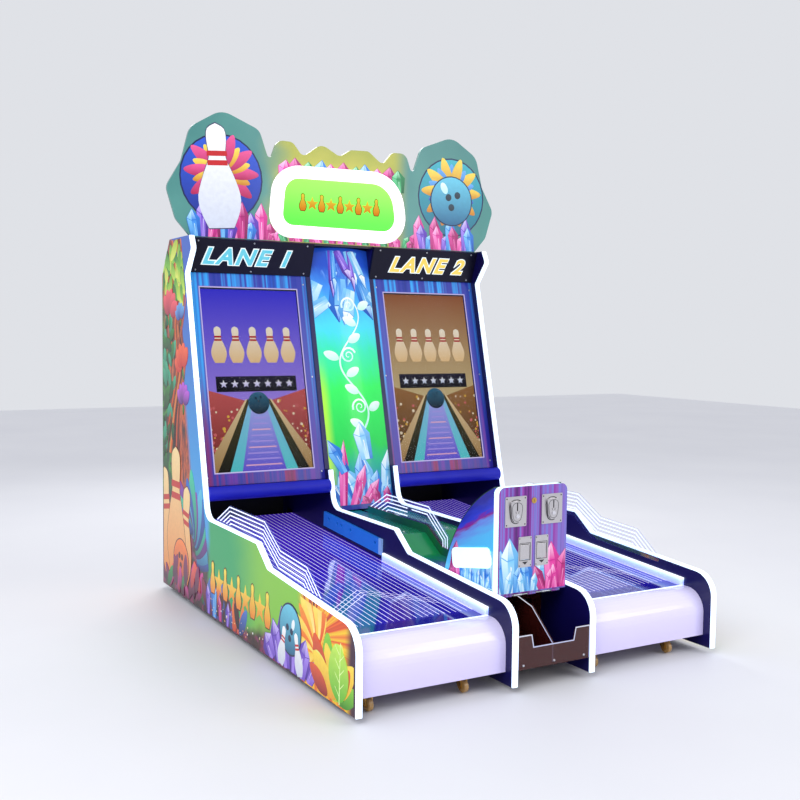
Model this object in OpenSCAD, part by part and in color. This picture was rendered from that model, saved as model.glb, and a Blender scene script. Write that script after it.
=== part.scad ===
// Two-lane bowling redemption machine for an amusement arcade.
// Millimetres, +Z up, +Y towards the back, player side at -Y.
// Lengths along Y are measured from the front feet, and heights from the lower edge of the side panels.
// place() then moves everything so that the origin is on the floor, under the middle of the machine.

/* [Cabinet] */
// Distance between the middles of the two side panels of one lane
lane_pitch = 680; // [660:5:700]
// Distance between the middles of the two inner panels
bay_pitch = 385; // [375:5:395]
// Thickness of the side panels
panel_t = 25; // [22:1:28]
// Depth of the side panels, front foot to back edge
depth = 2240; // [2230:5:2260]
// Height of the side panels
panel_h = 1830; // [1820:5:1840]
// Gap between the side panels and the floor
ground = 25; // [20:1:30]

/* [Screens] */
// Angle at which the screens lean back
lean = 13.9; // [12:0.1:15]
// Distance from the front feet to the lower edge of the screen surrounds
surround_y = 1643; // [1640:1:1650]
// Height of the lower edge of the screen surrounds
surround_z = 600; // [595:1:610]
// Width of the visible picture, a 43 inch display stood upright
picture_w = 529; // [520:1:535]
// Height of the visible picture
picture_h = 941; // [930:1:945]
// How far the outer panels stand out in front of the surrounds
edge_proud = 50; // [40:1:60]

/* [Lanes] */
// Height of the playing surface at its front edge
lane_z = 240; // [235:1:245]
// Distance from the front feet to the front edge of the playing surface
lane_front = 165; // [160:1:180]
// Distance from the front feet to the back edge of the playing surface
lane_back = 2050; // [2040:5:2060]
// Rise of the playing surface towards the back, in degrees
lane_rise = 3.55; // [3.4:0.05:3.7]

/* [Coin box] */
// Width of the coin door
door_w = 340; // [330:2:340]
// Height of the coin door
door_h = 434; // [430:1:438]
// Size of one coin entry plate
coin_plate = [105, 122];
// Distance between the middles of the two coin entry plates
coin_pitch = 182; // [176:1:186]

/* [Casters and feet] */
// Diameter of the caster wheels
wheel_d = 50; // [48:1:52]
// Gap between the caster wheels and the floor while the levelling feet carry the machine
wheel_gap = 2; // [2:0.5:4]
// Distance from a caster's swivel axis to its wheel axle
trail = 22; // [18:1:24]

/* [Hidden] */
$fn = 48;

panel_x = [-bay_pitch/2 - lane_pitch, -bay_pitch/2, bay_pitch/2, bay_pitch/2 + lane_pitch];
lane_x = [-(bay_pitch + lane_pitch)/2, (bay_pitch + lane_pitch)/2];
lane_w = lane_pitch - panel_t;
bay_w = bay_pitch - panel_t;
full_w = bay_pitch + 2*lane_pitch - panel_t;

light_t = 7;
sheet = 12;
inner_edge_proud = 8;
header_low = [1897, 1655];
header_lean = 19.6;
header_h = 178;
header_t = 16;
header_back = header_low.x + header_t + 2;
roof_y = header_back - (header_h - 20)*sin(header_lean);
surround_h = (header_low.y - surround_z)/cos(lean);
picture_v = 60;
back_y = 2200;
tube = 40;
frame_z = 51;
pad_t = 4;
coin_y = 158;
coin_z = 318;
hinge_y = coin_y + 2;
hinge_z = coin_z - 6;
door_t = 4;
cheek_t = 8;
cheek_x = door_w/2 - 1;
topper_y = 1862;
topper_t = 18;
rear_door = [560, 900];
rear_door_z = 500;
rear_hinge_y = back_y + 30;
rear_hinge_x = lane_x.y + rear_door.x/2 + 6;
pin_r = 2.5;
running = 0.05;
knuckle_r = 5;
axle_r = 4;
king_r = 5;
swivel_y = 130;
swivel_x = [for (x = lane_x) each [x - lane_pitch/2 + 95, x + lane_pitch/2 - 168]];
rear_caster = [full_w/2 - 130, 2160];
plate_z = frame_z - pad_t;
inlet_x = 60;
inlet_z = 400;
wheel_z = wheel_gap + wheel_d/2 - ground;

// ---- helpers ----

module place() translate([0, -depth/2, ground]) children();

function unit(v) = v/norm(v);
function turned(v, a) = [v.x*cos(a) - v.y*sin(a), v.x*sin(a) + v.y*cos(a)];

// Points that round the corner at b, between a and c, to radius r
function corner(a, b, c, r) = r <= 0 ? [b] :
    let (u = unit(a - b), v = unit(c - b), half = acos(u*v)/2,
        centre = b + unit(u + v)*r/sin(half), first = b + u*r/tan(half) - centre,
        turn = (180 - 2*half)*sign(cross(b - a, c - b)), steps = max(2, ceil(abs(turn)/10)))
    [for (i = [0:steps]) centre + turned(first, turn*i/steps)];

// A list of corners [a, b, radius] as points
function rounded(list) = let (n = len(list))
    [for (i = [0:n - 1]) let (p = list[(i + n - 1) % n], q = list[i], s = list[(i + 1) % n])
        each corner([p.x, p.y], [q.x, q.y], [s.x, s.y], q.z)];

// A path moved sideways by d, to the left of its direction when d is positive
function beside(p, d, closed = false) = let (n = len(p))
    [for (i = [0:n - 1])
        let (into = i > 0 || closed ? unit(p[i] - p[(i + n - 1) % n]) : unit(p[1] - p[0]),
            away = i < n - 1 || closed ? unit(p[(i + 1) % n] - p[i]) : into, along = unit(into + away))
        p[i] + [-along.y, along.x]*d/(along*into)];
function reversed(p) = [for (i = [len(p) - 1:-1:0]) p[i]];
module ribbon(p, t) polygon(concat(p, reversed(beside(p, t))));

// Plates: the outline's axes become Y and Z, X and Z, or X and Y
module slab_x(x, w) translate([x, 0, 0]) rotate([90, 0, 90]) linear_extrude(w) children();
module slab_y(y, w) translate([0, y + w, 0]) rotate([90, 0, 0]) linear_extrude(w) children();
module leaned() translate([0, surround_y, surround_z]) rotate([-lean, 0, 0]) children();
module on_lane() translate([0, lane_front, lane_z]) rotate([lane_rise, 0, 0]) children();
module at_x(list) for (x = list) translate([x, 0, 0]) children();

function screen_y(z) = surround_y + (z - surround_z)*tan(lean);

module soft_rect(w, h, r) polygon(rounded([[-w/2, 0, r], [w/2, 0, r], [w/2, h, r], [-w/2, h, r]]));

// ---- side panels and their lit edges ----

rail = [[0, 0, 0], [0, 322, 105], [800, 374, 20], [922, 461, 25], [screen_y(461) - edge_proud, 461, 75]];
notch_z = 1645;
light_top_z = 650;
outer_front = rounded(concat(rail, [[screen_y(notch_z) - edge_proud, notch_z, 15], [1755, 1765, 25],
    [1788, panel_h, 0]]));
inner_front = rounded(concat(rail, [[screen_y(light_top_z) - edge_proud, light_top_z, 0]]));
outer_back = rounded([[1797, panel_h, 0], [2106, panel_h, 20], [2232, 1650, 30], [depth, 0, 0]]);
roof_path = rounded([[roof_y, panel_h, 0], [2106, panel_h, 20], [2222, 1665, 0]]);

module outer_panel(x) slab_x(x - panel_t/2, panel_t) polygon(concat(beside(outer_front, -light_t), outer_back));

module inner_panel(x) slab_x(x - panel_t/2, panel_t) difference() {
    polygon(concat(beside(inner_front, -light_t),
        [[screen_y(light_top_z) - inner_edge_proud, light_top_z],
            [screen_y(header_low.y - 2) - inner_edge_proud, header_low.y - 2],
            [header_back, header_low.y - 2], [header_back, header_low.y + 6]],
        beside(roof_path, -sheet), [[back_y, 1665], [back_y, 0]]));
    translate([2064, 205]) square([120, 165]);
}
module side_panel_1() color("seagreen") place() outer_panel(panel_x[0]);
module side_panel_2() color("midnightblue") place() inner_panel(panel_x[1]);
module side_panel_3() color("midnightblue") place() inner_panel(panel_x[2]);
module side_panel_4() color("midnightblue") place() outer_panel(panel_x[3]);

module edge_lights() color("lightcyan") place() {
    for (x = [panel_x[0], panel_x[3]]) slab_x(x - panel_t/2, panel_t) ribbon(outer_front, -light_t);
    for (x = [panel_x[1], panel_x[2]]) slab_x(x - panel_t/2, panel_t) ribbon(inner_front, -light_t);
}

// ---- structure ----

module square_tube(length) difference() {
    cube([tube, length, tube]);
    translate([3, -1, 3]) cube([tube - 6, length + 2, tube - 6]);
}
module lane_frame() {
    w = lane_w - 2;
    difference() {
        union() {
            for (x = [-w/2, w/2 - tube]) translate([x, 60, frame_z]) square_tube(back_y - 70);
            for (y = [110, 1080, back_y - 60])
                translate([-w/2 + tube, y + tube, frame_z]) rotate([0, 0, -90]) square_tube(w - 2*tube);
            for (x = [95 - lane_pitch/2, lane_pitch/2 - 168])
                translate([x - 32, swivel_y - 32, plate_z]) cube([64, 64, pad_t]);
        }
        for (x = [95 - lane_pitch/2, lane_pitch/2 - 168])
            translate([x, swivel_y, plate_z - 1]) cylinder(r = king_r + running, h = 13);
    }
}
module base_frames() color("dimgray") place() {
    at_x(lane_x) lane_frame();
    for (s = [-1, 1]) translate([s*rear_caster.x - 32, rear_caster.y - 32, plate_z]) cube([64, 64, pad_t]);
}

module vent_slots() for (i = [0:7]) translate([-150, i*26]) square([300, 10]);
module back_panel() color("black") place() slab_y(back_y, sheet) difference() {
    translate([-full_w/2, 20]) square([full_w, 1630]);
    for (x = lane_x) {
        translate([x - rear_door.x/2 + 15, rear_door_z + 15]) square(rear_door - [30, 30]);
        translate([x, 150]) vent_slots();
    }
    translate([inlet_x + 5, inlet_z + 3]) square([60, 44]);
}
module roof_panel() color("black") place() slab_x(-full_w/2, full_w) ribbon(roof_path, -sheet);

module header_boards() color("#14123a") place() for (s = [-1, 1])
    translate([0, header_low.x, header_low.y]) rotate([header_lean, 0, 0])
        translate([s > 0 ? bay_w/2 : -full_w/2, 0, 0]) cube([lane_w + panel_t, header_t, header_h]);

// ---- screens ----

module surround(x) color("royalblue") place() leaned() slab_y(0, sheet) translate([x, 0]) difference() {
    translate([-lane_w/2, 0]) square([lane_w, surround_h]);
    translate([0, picture_v]) soft_rect(picture_w + 12, picture_h + 12, 4);
}
module surround_1() surround(lane_x[0]);
module surround_2() surround(lane_x[1]);
module screen_glasses() color("lightskyblue") place() leaned() at_x(lane_x) slab_y(2, 5)
    translate([0, picture_v + 1]) soft_rect(picture_w + 10, picture_h + 10, 3);
module monitors() color("#202020") place() leaned() at_x(lane_x) {
    slab_y(sheet, 38) translate([0, picture_v - 18]) soft_rect(picture_w + 46, picture_h + 46, 8);
    slab_y(sheet + 38, 30) translate([0, picture_v + 250]) soft_rect(360, 420, 20);
}
module bumper_bars() color("blue") place() at_x(lane_x) translate([-lane_w/2, 1605, 568]) rotate([0, 90, 0])
    difference() {
        cylinder(r = 35, h = lane_w, $fn = 64);
        translate([0, 0, -1]) cylinder(r = 14, h = lane_w + 2);
    }

// ---- lanes ----

lane_len = (lane_back - lane_front)/cos(lane_rise);
module lane_surface(x) color("mediumpurple") place() on_lane()
    translate([x - lane_w/2, 0, -8]) cube([lane_w, lane_len, 8]);
module lane_surface_1() lane_surface(lane_x[0]);
module lane_surface_2() lane_surface(lane_x[1]);
module lane_boards() color("burlywood") place() on_lane() at_x(lane_x) {
    translate([-lane_w/2, 12, -26]) cube([lane_w, lane_len - 12, 18]);
    for (y = [300, 950, 1600]) translate([-lane_w/2, y, -70]) cube([lane_w, 30, 44]);
}
apron_path = rounded([[lane_front, lane_z + 4, 0], [48, lane_z + 4, 95], [48, 50, 0]]);
module lane_aprons() color("lavender") place() at_x(lane_x) slab_x(-lane_w/2, lane_w) ribbon(apron_path, 5);
module lane_lights() color("white") place() on_lane() at_x(lane_x)
    translate([lane_w/2 - 12, 4, 0]) cube([12, 850, 38]);

sensor_from = 1034;
module sensor_bars() color("dodgerblue") place() on_lane() at_x(lane_x) difference() {
    translate([lane_w/2 - 12, sensor_from - lane_front, 24]) cube([12, 610, 75]);
    for (y = [1091, 1343, 1443, 1489, 1585]) translate([lane_w/2 - 13, y - lane_front, 70])
        rotate([0, 90, 0]) cylinder(r = 9, h = 9);
}

// Clear guard on the rail: its top edge runs from the back foot over the crest and down to the front
guard_top = rounded([[1490, 462, 0], [1466, 476, 0], [1307, 558, 12], [890, 558, 20], [720, 465, 20],
    [465, 450, 25], [323, 346, 0]]);
cover_path = rounded([[1622, 432, 0], [925, 430, 30], [793, 352, 60], [556, 340, 0]]);
guard_foot = concat([[1490, 431.7]], [for (p = cover_path) if (p.x > 730 && p.x < 1490) p], [[730, 348.8]]);
foot_h = 36;
module wing_guards() color("lightblue") place() {
    for (x = [-full_w/2, full_w/2 - 8]) slab_x(x, 8)
        polygon(concat(guard_top, [[330, 317], [790, 348], [925, 436], [1490, 436]]));
    slab_x(-30, 8) polygon(concat(beside(guard_foot, -foot_h),
        rounded([[738, 440, 0], [905, 557, 20], [1307, 558, 12], [1466, 480, 0]])));
}

// ---- ball path ----

module ball_pits() color("#1a1a1e") place() for (s = [-1, 1]) mirror([s > 0 ? 1 : 0, 0, 0]) {
    slab_y(lane_back + 4, back_y - lane_back - 6)
        polygon([[-full_w/2, 296], [-bay_pitch/2 - panel_t/2, 206], [-bay_pitch/2 - panel_t/2, 200],
            [-full_w/2, 290]]);
    translate([-full_w/2, back_y - 14, 300]) cube([lane_w, 12, 240]);
    translate([-full_w/2, 1665, 552]) cube([lane_w, back_y - 1665 - 2, 8]);
}
// Twin-track gutter that falls from the pits to the tray
chute_w = 264;
module return_chute() color("#333338") place() {
    slab_x(-chute_w/2, chute_w) polygon([[332, 80], [2192, 186], [2192, 190], [332, 84]]);
    for (x = [-chute_w/2 - 4, -2, chute_w/2]) slab_x(x, 4)
        polygon([[332, 80], [2040, 177], [2040, 260], [332, 160]]);
    for (s = [-1, 1]) slab_y(2064, 118) mirror([s > 0 ? 1 : 0, 0])
        polygon([[-bay_w/2, 204], [-chute_w/2, 193], [-chute_w/2, 188], [-bay_w/2, 200]]);
}
module centre_cover() color("seagreen") place() {
    slab_x(-bay_w/2, bay_w) ribbon(cover_path, 6);
    slab_x(-36, 20) ribbon(beside(guard_foot, 2), -foot_h - 2);
}
column_r = 470;
module centre_column() color("deepskyblue") place() leaned() translate([0, column_r - 43, -174])
    linear_extrude(1416) intersection() {
        difference() {
            circle(r = column_r, $fn = 180);
            circle(r = column_r - 4, $fn = 180);
        }
        translate([-bay_w/2, -column_r - 10]) square([bay_w, 48]);
    }

tray_profile = [[11, 68], [11, 146], [150, 262], [322, 300], [322, 68]];
module ball_tray() color("#5a3a34") place() {
    translate([-bay_w/2, 5, 62]) cube([bay_w, 325, 6]);
    slab_y(5, 6) polygon(rounded([[-bay_w/2, 68, 0], [-bay_w/2, 197, 0], [-112, 197, 12], [-102, 147, 10],
        [96, 147, 10], [106, 197, 12], [bay_w/2, 197, 0], [bay_w/2, 68, 0]]));
    slab_x(-3, 6) polygon(tray_profile);
    slab_y(324, 6) difference() {
        translate([-bay_w/2, 68]) square([bay_w, 250]);
        for (s = [-1, 1]) translate([s*66 - 62, 88]) square([124, 150]);
    }
}

// ---- coin box ----

// The hood's side view: a straight front and a round back of radius hood_r
hood_top = [194, coin_z + door_h - 1];
hood_foot = [554, 342];
hood_r = 632;
function hood_arc(n) = let (c = (hood_top + hood_foot)/2, half = norm(hood_foot - hood_top)/2,
    n_dir = turned(unit(hood_foot - hood_top), -90), mid = c + n_dir*sqrt(hood_r*hood_r - half*half),
    a0 = atan2(hood_top.y - mid.y, hood_top.x - mid.x), a1 = atan2(hood_foot.y - mid.y, hood_foot.x - mid.x))
    [for (i = [0:n]) let (a = a0 + (a1 - a0)*i/n) mid + hood_r*[cos(a), sin(a)]];
hood_curve = hood_arc(12);
hood_inside = beside(hood_curve, -4);
hood_end = hood_inside[12];

module coin_cheeks() color("mediumblue") place() for (x = [-cheek_x, cheek_x - cheek_t]) slab_x(x, cheek_t)
    polygon(concat([[194, 332]], hood_inside));
module coin_hood() color("darkgreen") place() {
    slab_x(-cheek_x, 2*cheek_x) ribbon(hood_curve, -4);
    slab_x(-cheek_x, 2*cheek_x) polygon([[194, 328], [194, 332], hood_end, hood_end - [0, 4]]);
    translate([-30, coin_y + 8, lock_z + coin_z + 30]) cube([60, 4, 21]);
}
coin_outline = rounded([[-door_w/2, 0, 0], [-door_w/2, door_h, 28], [door_w/2, door_h, 28], [door_w/2, 0, 0]]);
module coin_lights() color("paleturquoise") place() {
    slab_y(coin_y + 1, 33) translate([0, coin_z])
        polygon(concat(beside(coin_outline, -1), reversed(beside(coin_outline, -9))));
    translate([-cheek_x - 5, 345, 437]) rotate([-10.5, 0, 0]) slab_x(0, 5)
        polygon(rounded([[-140, -42, 24], [140, -42, 24], [140, 42, 24], [-140, 42, 24]]));
}

lock_z = 692 - coin_z;
coin_slot = 5.2;
flap_size = [46, 62];
flap_z = 168;
flap_pivot_z = flap_z + flap_size.y/2 - 4;
flap_pivot_y = coin_y - 4;
button_z = -17;
plate_z0 = 335;
module coin_door() color("orchid") place() translate([0, 0, coin_z]) {
    difference() {
        slab_y(coin_y - door_t, door_t) difference() {
            polygon(coin_outline);
            for (s = [-1, 1]) {
                translate([s*coin_pitch/2 - 34, plate_z0 - 45]) square([68, 90]);
                translate([s*42 - 27, flap_z - 40]) square([54, 80]);
            }
        }
        translate([0, coin_y + 1, lock_z]) rotate([90, 0, 0]) cylinder(r = 9 + running, h = door_t + 2);
    }
    difference() {
        union() for (x = [-120, 0, 120]) translate([x - 20, 0, 0]) {
            translate([0, coin_y, 0]) cube([40, 2, 22]);
            translate([0, hinge_y, -6]) rotate([0, 90, 0]) cylinder(r = knuckle_r, h = 40);
            translate([0, coin_y, -6]) cube([40, 2, 7]);
        }
        translate([-160, hinge_y, -6]) rotate([0, 90, 0]) cylinder(r = pin_r + running, h = 320);
    }
}
shield = rounded([[-31, 42, 6], [31, 42, 6], [24, -26, 8], [12, -42, 6], [-12, -42, 6], [-24, -26, 8]]);
module coin_plates() color("silver") place() translate([0, 0, coin_z]) {
    for (s = [-1, 1]) translate([s*coin_pitch/2, 0, plate_z0]) difference() {
        union() {
            slab_y(coin_y - door_t - 3, 3) translate([0, -coin_plate.y/2])
                soft_rect(coin_plate.x, coin_plate.y, 4);
            slab_y(coin_y - door_t - 13, 10) polygon(shield);
            translate([-33, coin_y - door_t, -44]) cube([66, 62, 88]);
        }
        translate([-coin_slot/2, coin_y - 60, 4]) cube([coin_slot, 90, 32]);
        translate([0, coin_y + 22, button_z]) rotate([90, 0, 0]) cylinder(r = 8 + running, h = 52);
    }
    for (s = [-1, 1]) translate([s*42, 0, flap_z]) difference() {
        union() {
            slab_y(coin_y - door_t - 3, 3) translate([0, -62]) soft_rect(66, 124, 4);
            translate([-26, coin_y - door_t, -39]) cube([52, 60, 78]);
        }
        translate([-flap_size.x/2 - 1, coin_y - 20, -flap_size.y/2 - 1])
            cube([flap_size.x + 2, 70, flap_size.y + 2]);
        translate([-25, flap_pivot_y, flap_size.y/2 - 4]) rotate([0, 90, 0])
            cylinder(r = 2 + running, h = 50);
    }
}
module coin_lock() color("gold") place() translate([0, 0, coin_z + lock_z]) {
    difference() {
        union() {
            translate([0, coin_y + 14, 0]) rotate([90, 0, 0]) cylinder(r = 9, h = door_t + 15);
            translate([0, coin_y - door_t - 0.3, 0]) rotate([90, 0, 0]) cylinder(r = 12, h = 3);
        }
        translate([-1, coin_y - 8, -5]) cube([2, 3.5, 10]);
    }
    translate([-8, coin_y + 14, -8]) cube([52, 3, 16]);
}
module coin_button(s) color("gainsboro") place()
    translate([s*coin_pitch/2, coin_y - door_t - 17, coin_z + plate_z0 + button_z])
        rotate([-90, 0, 0]) cylinder(r = 8, h = 34);
module coin_button_1() coin_button(-1);
module coin_button_2() coin_button(1);
module coin_flap(s) color("lightgray") place() translate([s*42, 0, coin_z + flap_z]) {
    translate([-flap_size.x/2, flap_pivot_y - 1.5, -flap_size.y/2])
        cube([flap_size.x, 3, flap_size.y - 4]);
    translate([-24.5, flap_pivot_y, flap_size.y/2 - 4]) rotate([0, 90, 0]) cylinder(r = 2, h = 49);
}
module coin_flap_1() coin_flap(-1);
module coin_flap_2() coin_flap(1);
module cash_box() color("slategray") place() translate([-110, 235, 338.5]) difference() {
    cube([220, 200, 110]);
    translate([3, 3, 3]) cube([214, 194, 120]);
}

// Fixed hinge leaves and pins of the coin door and the rear doors
rear_knuckles = [-300, 0, 300];
module hinge_leaves() color("silver") place() {
    for (x = [-70, 70]) translate([x - 20, 0, 0]) {
        translate([0, hinge_y, hinge_z]) rotate([0, 90, 0]) cylinder(r = knuckle_r, h = 40);
        translate([0, hinge_y, hinge_z - 2]) cube([40, 38, 3]);
        translate([0, 194, hinge_z]) cube([40, 4, 16]);
    }
    translate([-145, hinge_y, hinge_z]) rotate([0, 90, 0]) cylinder(r = pin_r, h = 290);
    for (s = [-1, 1], z = rear_knuckles) translate([s*rear_hinge_x, 0, rear_door_z + rear_door.y/2 + z]) {
        translate([0, rear_hinge_y, -45]) cylinder(r = knuckle_r, h = 30);
        translate([s > 0 ? 0 : -18, back_y + sheet, -45]) cube([18, 20, 30]);
        translate([0, rear_hinge_y, -45]) cylinder(r = pin_r, h = 60);
    }
}
module rear_door_leaf(s) color("#26262a") place() {
    difference() {
        slab_y(back_y + sheet + 0.5, sheet) translate([s*lane_x.y, rear_door_z]) difference() {
            translate([-rear_door.x/2, 0]) square(rear_door);
            translate([0, 640]) vent_slots();
        }
        translate([s*(lane_x.y - 240), back_y + 30, rear_door_z + 450]) rotate([90, 0, 0])
            cylinder(r = 9.5, h = 30);
    }
    translate([s*(lane_x.y - 240), back_y + 30, rear_door_z + 450]) rotate([90, 0, 0])
        cylinder(r = 9.5, h = 20);
    for (z = rear_knuckles) translate([s*rear_hinge_x, 0, rear_door_z + rear_door.y/2 + z]) difference() {
        union() {
            translate([0, rear_hinge_y, -14.5]) cylinder(r = knuckle_r, h = 30);
            translate([s > 0 ? -36 : 0, back_y + 2*sheet + 0.5, -14.5]) cube([36, 2, 30]);
        }
        translate([0, rear_hinge_y, -46]) cylinder(r = pin_r + running, h = 100);
    }
}
module rear_door_1() rear_door_leaf(-1);
module rear_door_2() rear_door_leaf(1);

// ---- topper ----

// Two equal round lobes with a row of crystal tips between them
lobe = [[430, 402, 14], [486, 560, 60], [690, 640, 110], [856, 540, 90], [900, 372, 60], [978, 240, 60],
    [930, 84, 60], [855, 0, 0]];
crystal_tips = [[-386, 520, 50], [-300, 518, 40], [-240, 446, 30], [-132, 524, 60], [-24, 466, 40],
    [42, 508, 40], [150, 512, 40], [240, 446, 30], [300, 518, 40], [386, 520, 50]];
topper_outline = rounded(concat([for (i = [len(lobe) - 1 : -1 : 0]) [-lobe[i].x, lobe[i].y, lobe[i].z]],
    crystal_tips, lobe));
topper_xs = [for (p = topper_outline) p.x];
topper_x = -(min(topper_xs) + max(topper_xs))/2;
module topper_board() color("teal") place() slab_y(topper_y, topper_t)
    translate([topper_x, panel_h]) polygon(topper_outline);
sign_outline = rounded([[-442, 22, 120], [-408, 392, 150], [335, 402, 200], [392, 16, 140]]);
module topper_rim() color("mistyrose") place() slab_y(topper_y - 30, 30) translate([0, panel_h]) difference() {
    polygon(sign_outline);
    polygon(beside(sign_outline, -64, true));
}
module topper_face() color("limegreen") place() slab_y(topper_y - 22, 22)
    translate([0, panel_h]) polygon(beside(sign_outline, -64.5, true));
module topper_brackets() color("silver") place() for (x = [-700, -240, 240, 640]) translate([x - 20, 0, 0])
    slab_x(0, 40) ribbon([[topper_y + topper_t, panel_h + 120], [topper_y + topper_t, panel_h],
        [topper_y + topper_t + 110, panel_h]], 4);

// ---- electrical parts, fasteners and feet ----

module electronics() color("darkslategray") place() {
    translate([lane_x[0] - 150, 2040, 560]) cube([300, 120, 260]);
    translate([lane_x[1] - 110, 2060, 560]) cube([220, 90, 120]);
    for (x = lane_x, s = [-1, 1]) translate([x + s*180, back_y - 60, 1500]) rotate([-90, 0, 0])
        cylinder(r1 = 60, r2 = 30, h = 60);
}
module power_inlet() color("#111111") place() translate([inlet_x, 0, inlet_z]) difference() {
    union() {
        translate([0, back_y + sheet, 0]) cube([70, 4, 50]);
        translate([6, back_y + sheet - 40, 4]) cube([58, 40, 42]);
    }
    translate([12, back_y - 10, 12]) cube([26, 40, 24]);
    translate([44, back_y - 10, 14]) cube([16, 40, 22]);
    for (s = [-1, 1]) translate([52 + s*4, back_y + sheet - 3, 25]) rotate([0, s*90, 0])
        cylinder(r = 1.5 + running, h = 6);
}
switch_tilt = 8;
module power_switch() color("red") place() translate([inlet_x + 52, back_y + sheet - 3, inlet_z + 25]) {
    rotate([switch_tilt, 0, 0])
        slab_x(-7, 14) polygon([[4, -9], [8, -9], [4, 0], [8, 9], [4, 9], [-6, 4], [-6, -4]]);
    translate([-9, 0, 0]) rotate([0, 90, 0]) cylinder(r = 1.5, h = 18);
}
module button_screw() {
    cylinder(r1 = 5, r2 = 3.5, h = 2.5);
}
module screws() color("gray") place() {
    for (s = [-1, 1], v = [14, 164]) translate([0, header_low.x, header_low.y]) rotate([header_lean, 0, 0])
        for (u = [-300, 0, 300]) translate([s*(lane_x.y - panel_t/2) + u, 0, v]) rotate([90, 0, 0])
            button_screw();
    for (x = lane_x, u = [-310, 310], v = [40, 540, 1040]) leaned() translate([x + u, 0, v])
        rotate([90, 0, 0]) button_screw();
    for (u = [-150, 0, 150]) translate([u, 5, 78]) rotate([90, 0, 0]) button_screw();
    for (s = [-1, 1], y = [980, 1180, 1380]) translate([s*120, y, 0])
        translate([0, 0, 430.03 + (y - 925)*2/697]) button_screw();
}
module levelling_feet() color("darkgray") place()
    for (x = lane_x, s = [-1, 1], y = [320, 1900]) translate([x + s*(lane_w/2 - 1 - tube/2), y, -ground]) {
        cylinder(r = 24, h = 8);
        translate([0, 0, 8]) cylinder(r = 6, h = ground + frame_z - 8);
        translate([0, 0, ground + frame_z - 10]) difference() {
            cylinder(r = 11, h = 10, $fn = 6);
            translate([0, 0, -1]) cylinder(r = 6, h = 12);
        }
    }

// ---- casters: the swivel axis or the fork's middle is at the origin ----

module caster_fork(fixed) {
    translate([0, 0, plate_z - 13]) cylinder(r = 24, h = fixed ? 13 : 12.7);
    for (s = [-1, 1]) slab_x(s*13.5 - 2.5, 5) polygon(rounded([[-22, plate_z - 12, 0],
        [20, plate_z - 12, 0], [-trail + 11, wheel_z - 11, 8], [-trail - 11, wheel_z - 11, 8]]));
    if (!fixed) translate([0, 0, plate_z - 10]) cylinder(r = king_r, h = 17);
    translate([-19, -trail, wheel_z]) rotate([0, 90, 0]) cylinder(r = axle_r, h = 38);
}
module caster_wheel() translate([-10, -trail, wheel_z]) rotate([0, 90, 0]) difference() {
    union() {
        cylinder(r = wheel_d/2 - 2, h = 20);
        translate([0, 0, 2]) cylinder(r = wheel_d/2, h = 16);
    }
    translate([0, 0, -1]) cylinder(r = axle_r + running, h = 22);
}
module front_fork(i) color("goldenrod") place() translate([swivel_x[i], swivel_y, 0]) caster_fork(false);
module front_wheel(i) color("goldenrod") place() translate([swivel_x[i], swivel_y, 0]) caster_wheel();
module caster_fork_1() front_fork(0);
module caster_fork_2() front_fork(1);
module caster_fork_3() front_fork(2);
module caster_fork_4() front_fork(3);
module caster_wheel_1() front_wheel(0);
module caster_wheel_2() front_wheel(1);
module caster_wheel_3() front_wheel(2);
module caster_wheel_4() front_wheel(3);
module rear_wheel(s) color("goldenrod") place() translate([s*rear_caster.x, rear_caster.y, 0]) caster_wheel();
module caster_wheel_5() rear_wheel(-1);
module caster_wheel_6() rear_wheel(1);
module rear_caster_forks() color("goldenrod") place()
    for (s = [-1, 1]) translate([s*rear_caster.x, rear_caster.y, 0]) caster_fork(true);

side_panel_1();
side_panel_2();
side_panel_3();
side_panel_4();
edge_lights();
base_frames();
back_panel();
roof_panel();
header_boards();
surround_1();
surround_2();
screen_glasses();
monitors();
bumper_bars();
lane_surface_1();
lane_surface_2();
lane_boards();
lane_aprons();
lane_lights();
wing_guards();
sensor_bars();
ball_pits();
return_chute();
centre_column();
centre_cover();
coin_cheeks();
coin_hood();
coin_lights();
ball_tray();
topper_board();
topper_rim();
topper_face();
topper_brackets();
cash_box();
electronics();
screws();
levelling_feet();
power_inlet();
hinge_leaves();
rear_caster_forks();
coin_door();
coin_plates();
coin_lock();
coin_button_1();
coin_button_2();
coin_flap_1();
coin_flap_2();
rear_door_1();
rear_door_2();
power_switch();
caster_fork_1();
caster_fork_2();
caster_fork_3();
caster_fork_4();
caster_wheel_1();
caster_wheel_2();
caster_wheel_3();
caster_wheel_4();
caster_wheel_5();
caster_wheel_6();
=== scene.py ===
# %% [markdown]
# # A two-lane bowling machine for an arcade
# The machine is a wooden cabinet with two lit lanes, two upright screens and a coin box between them.
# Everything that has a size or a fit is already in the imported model. These cells add what a printer, a
# sign maker and a lamp fitter would add: printed film, lit letters, guard lines and every finish.
# All lengths are metres, Y runs from the players to the back and Z is up.

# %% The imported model
import math
import random

import bmesh
import bpy
from mathutils import Matrix, Vector


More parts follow.
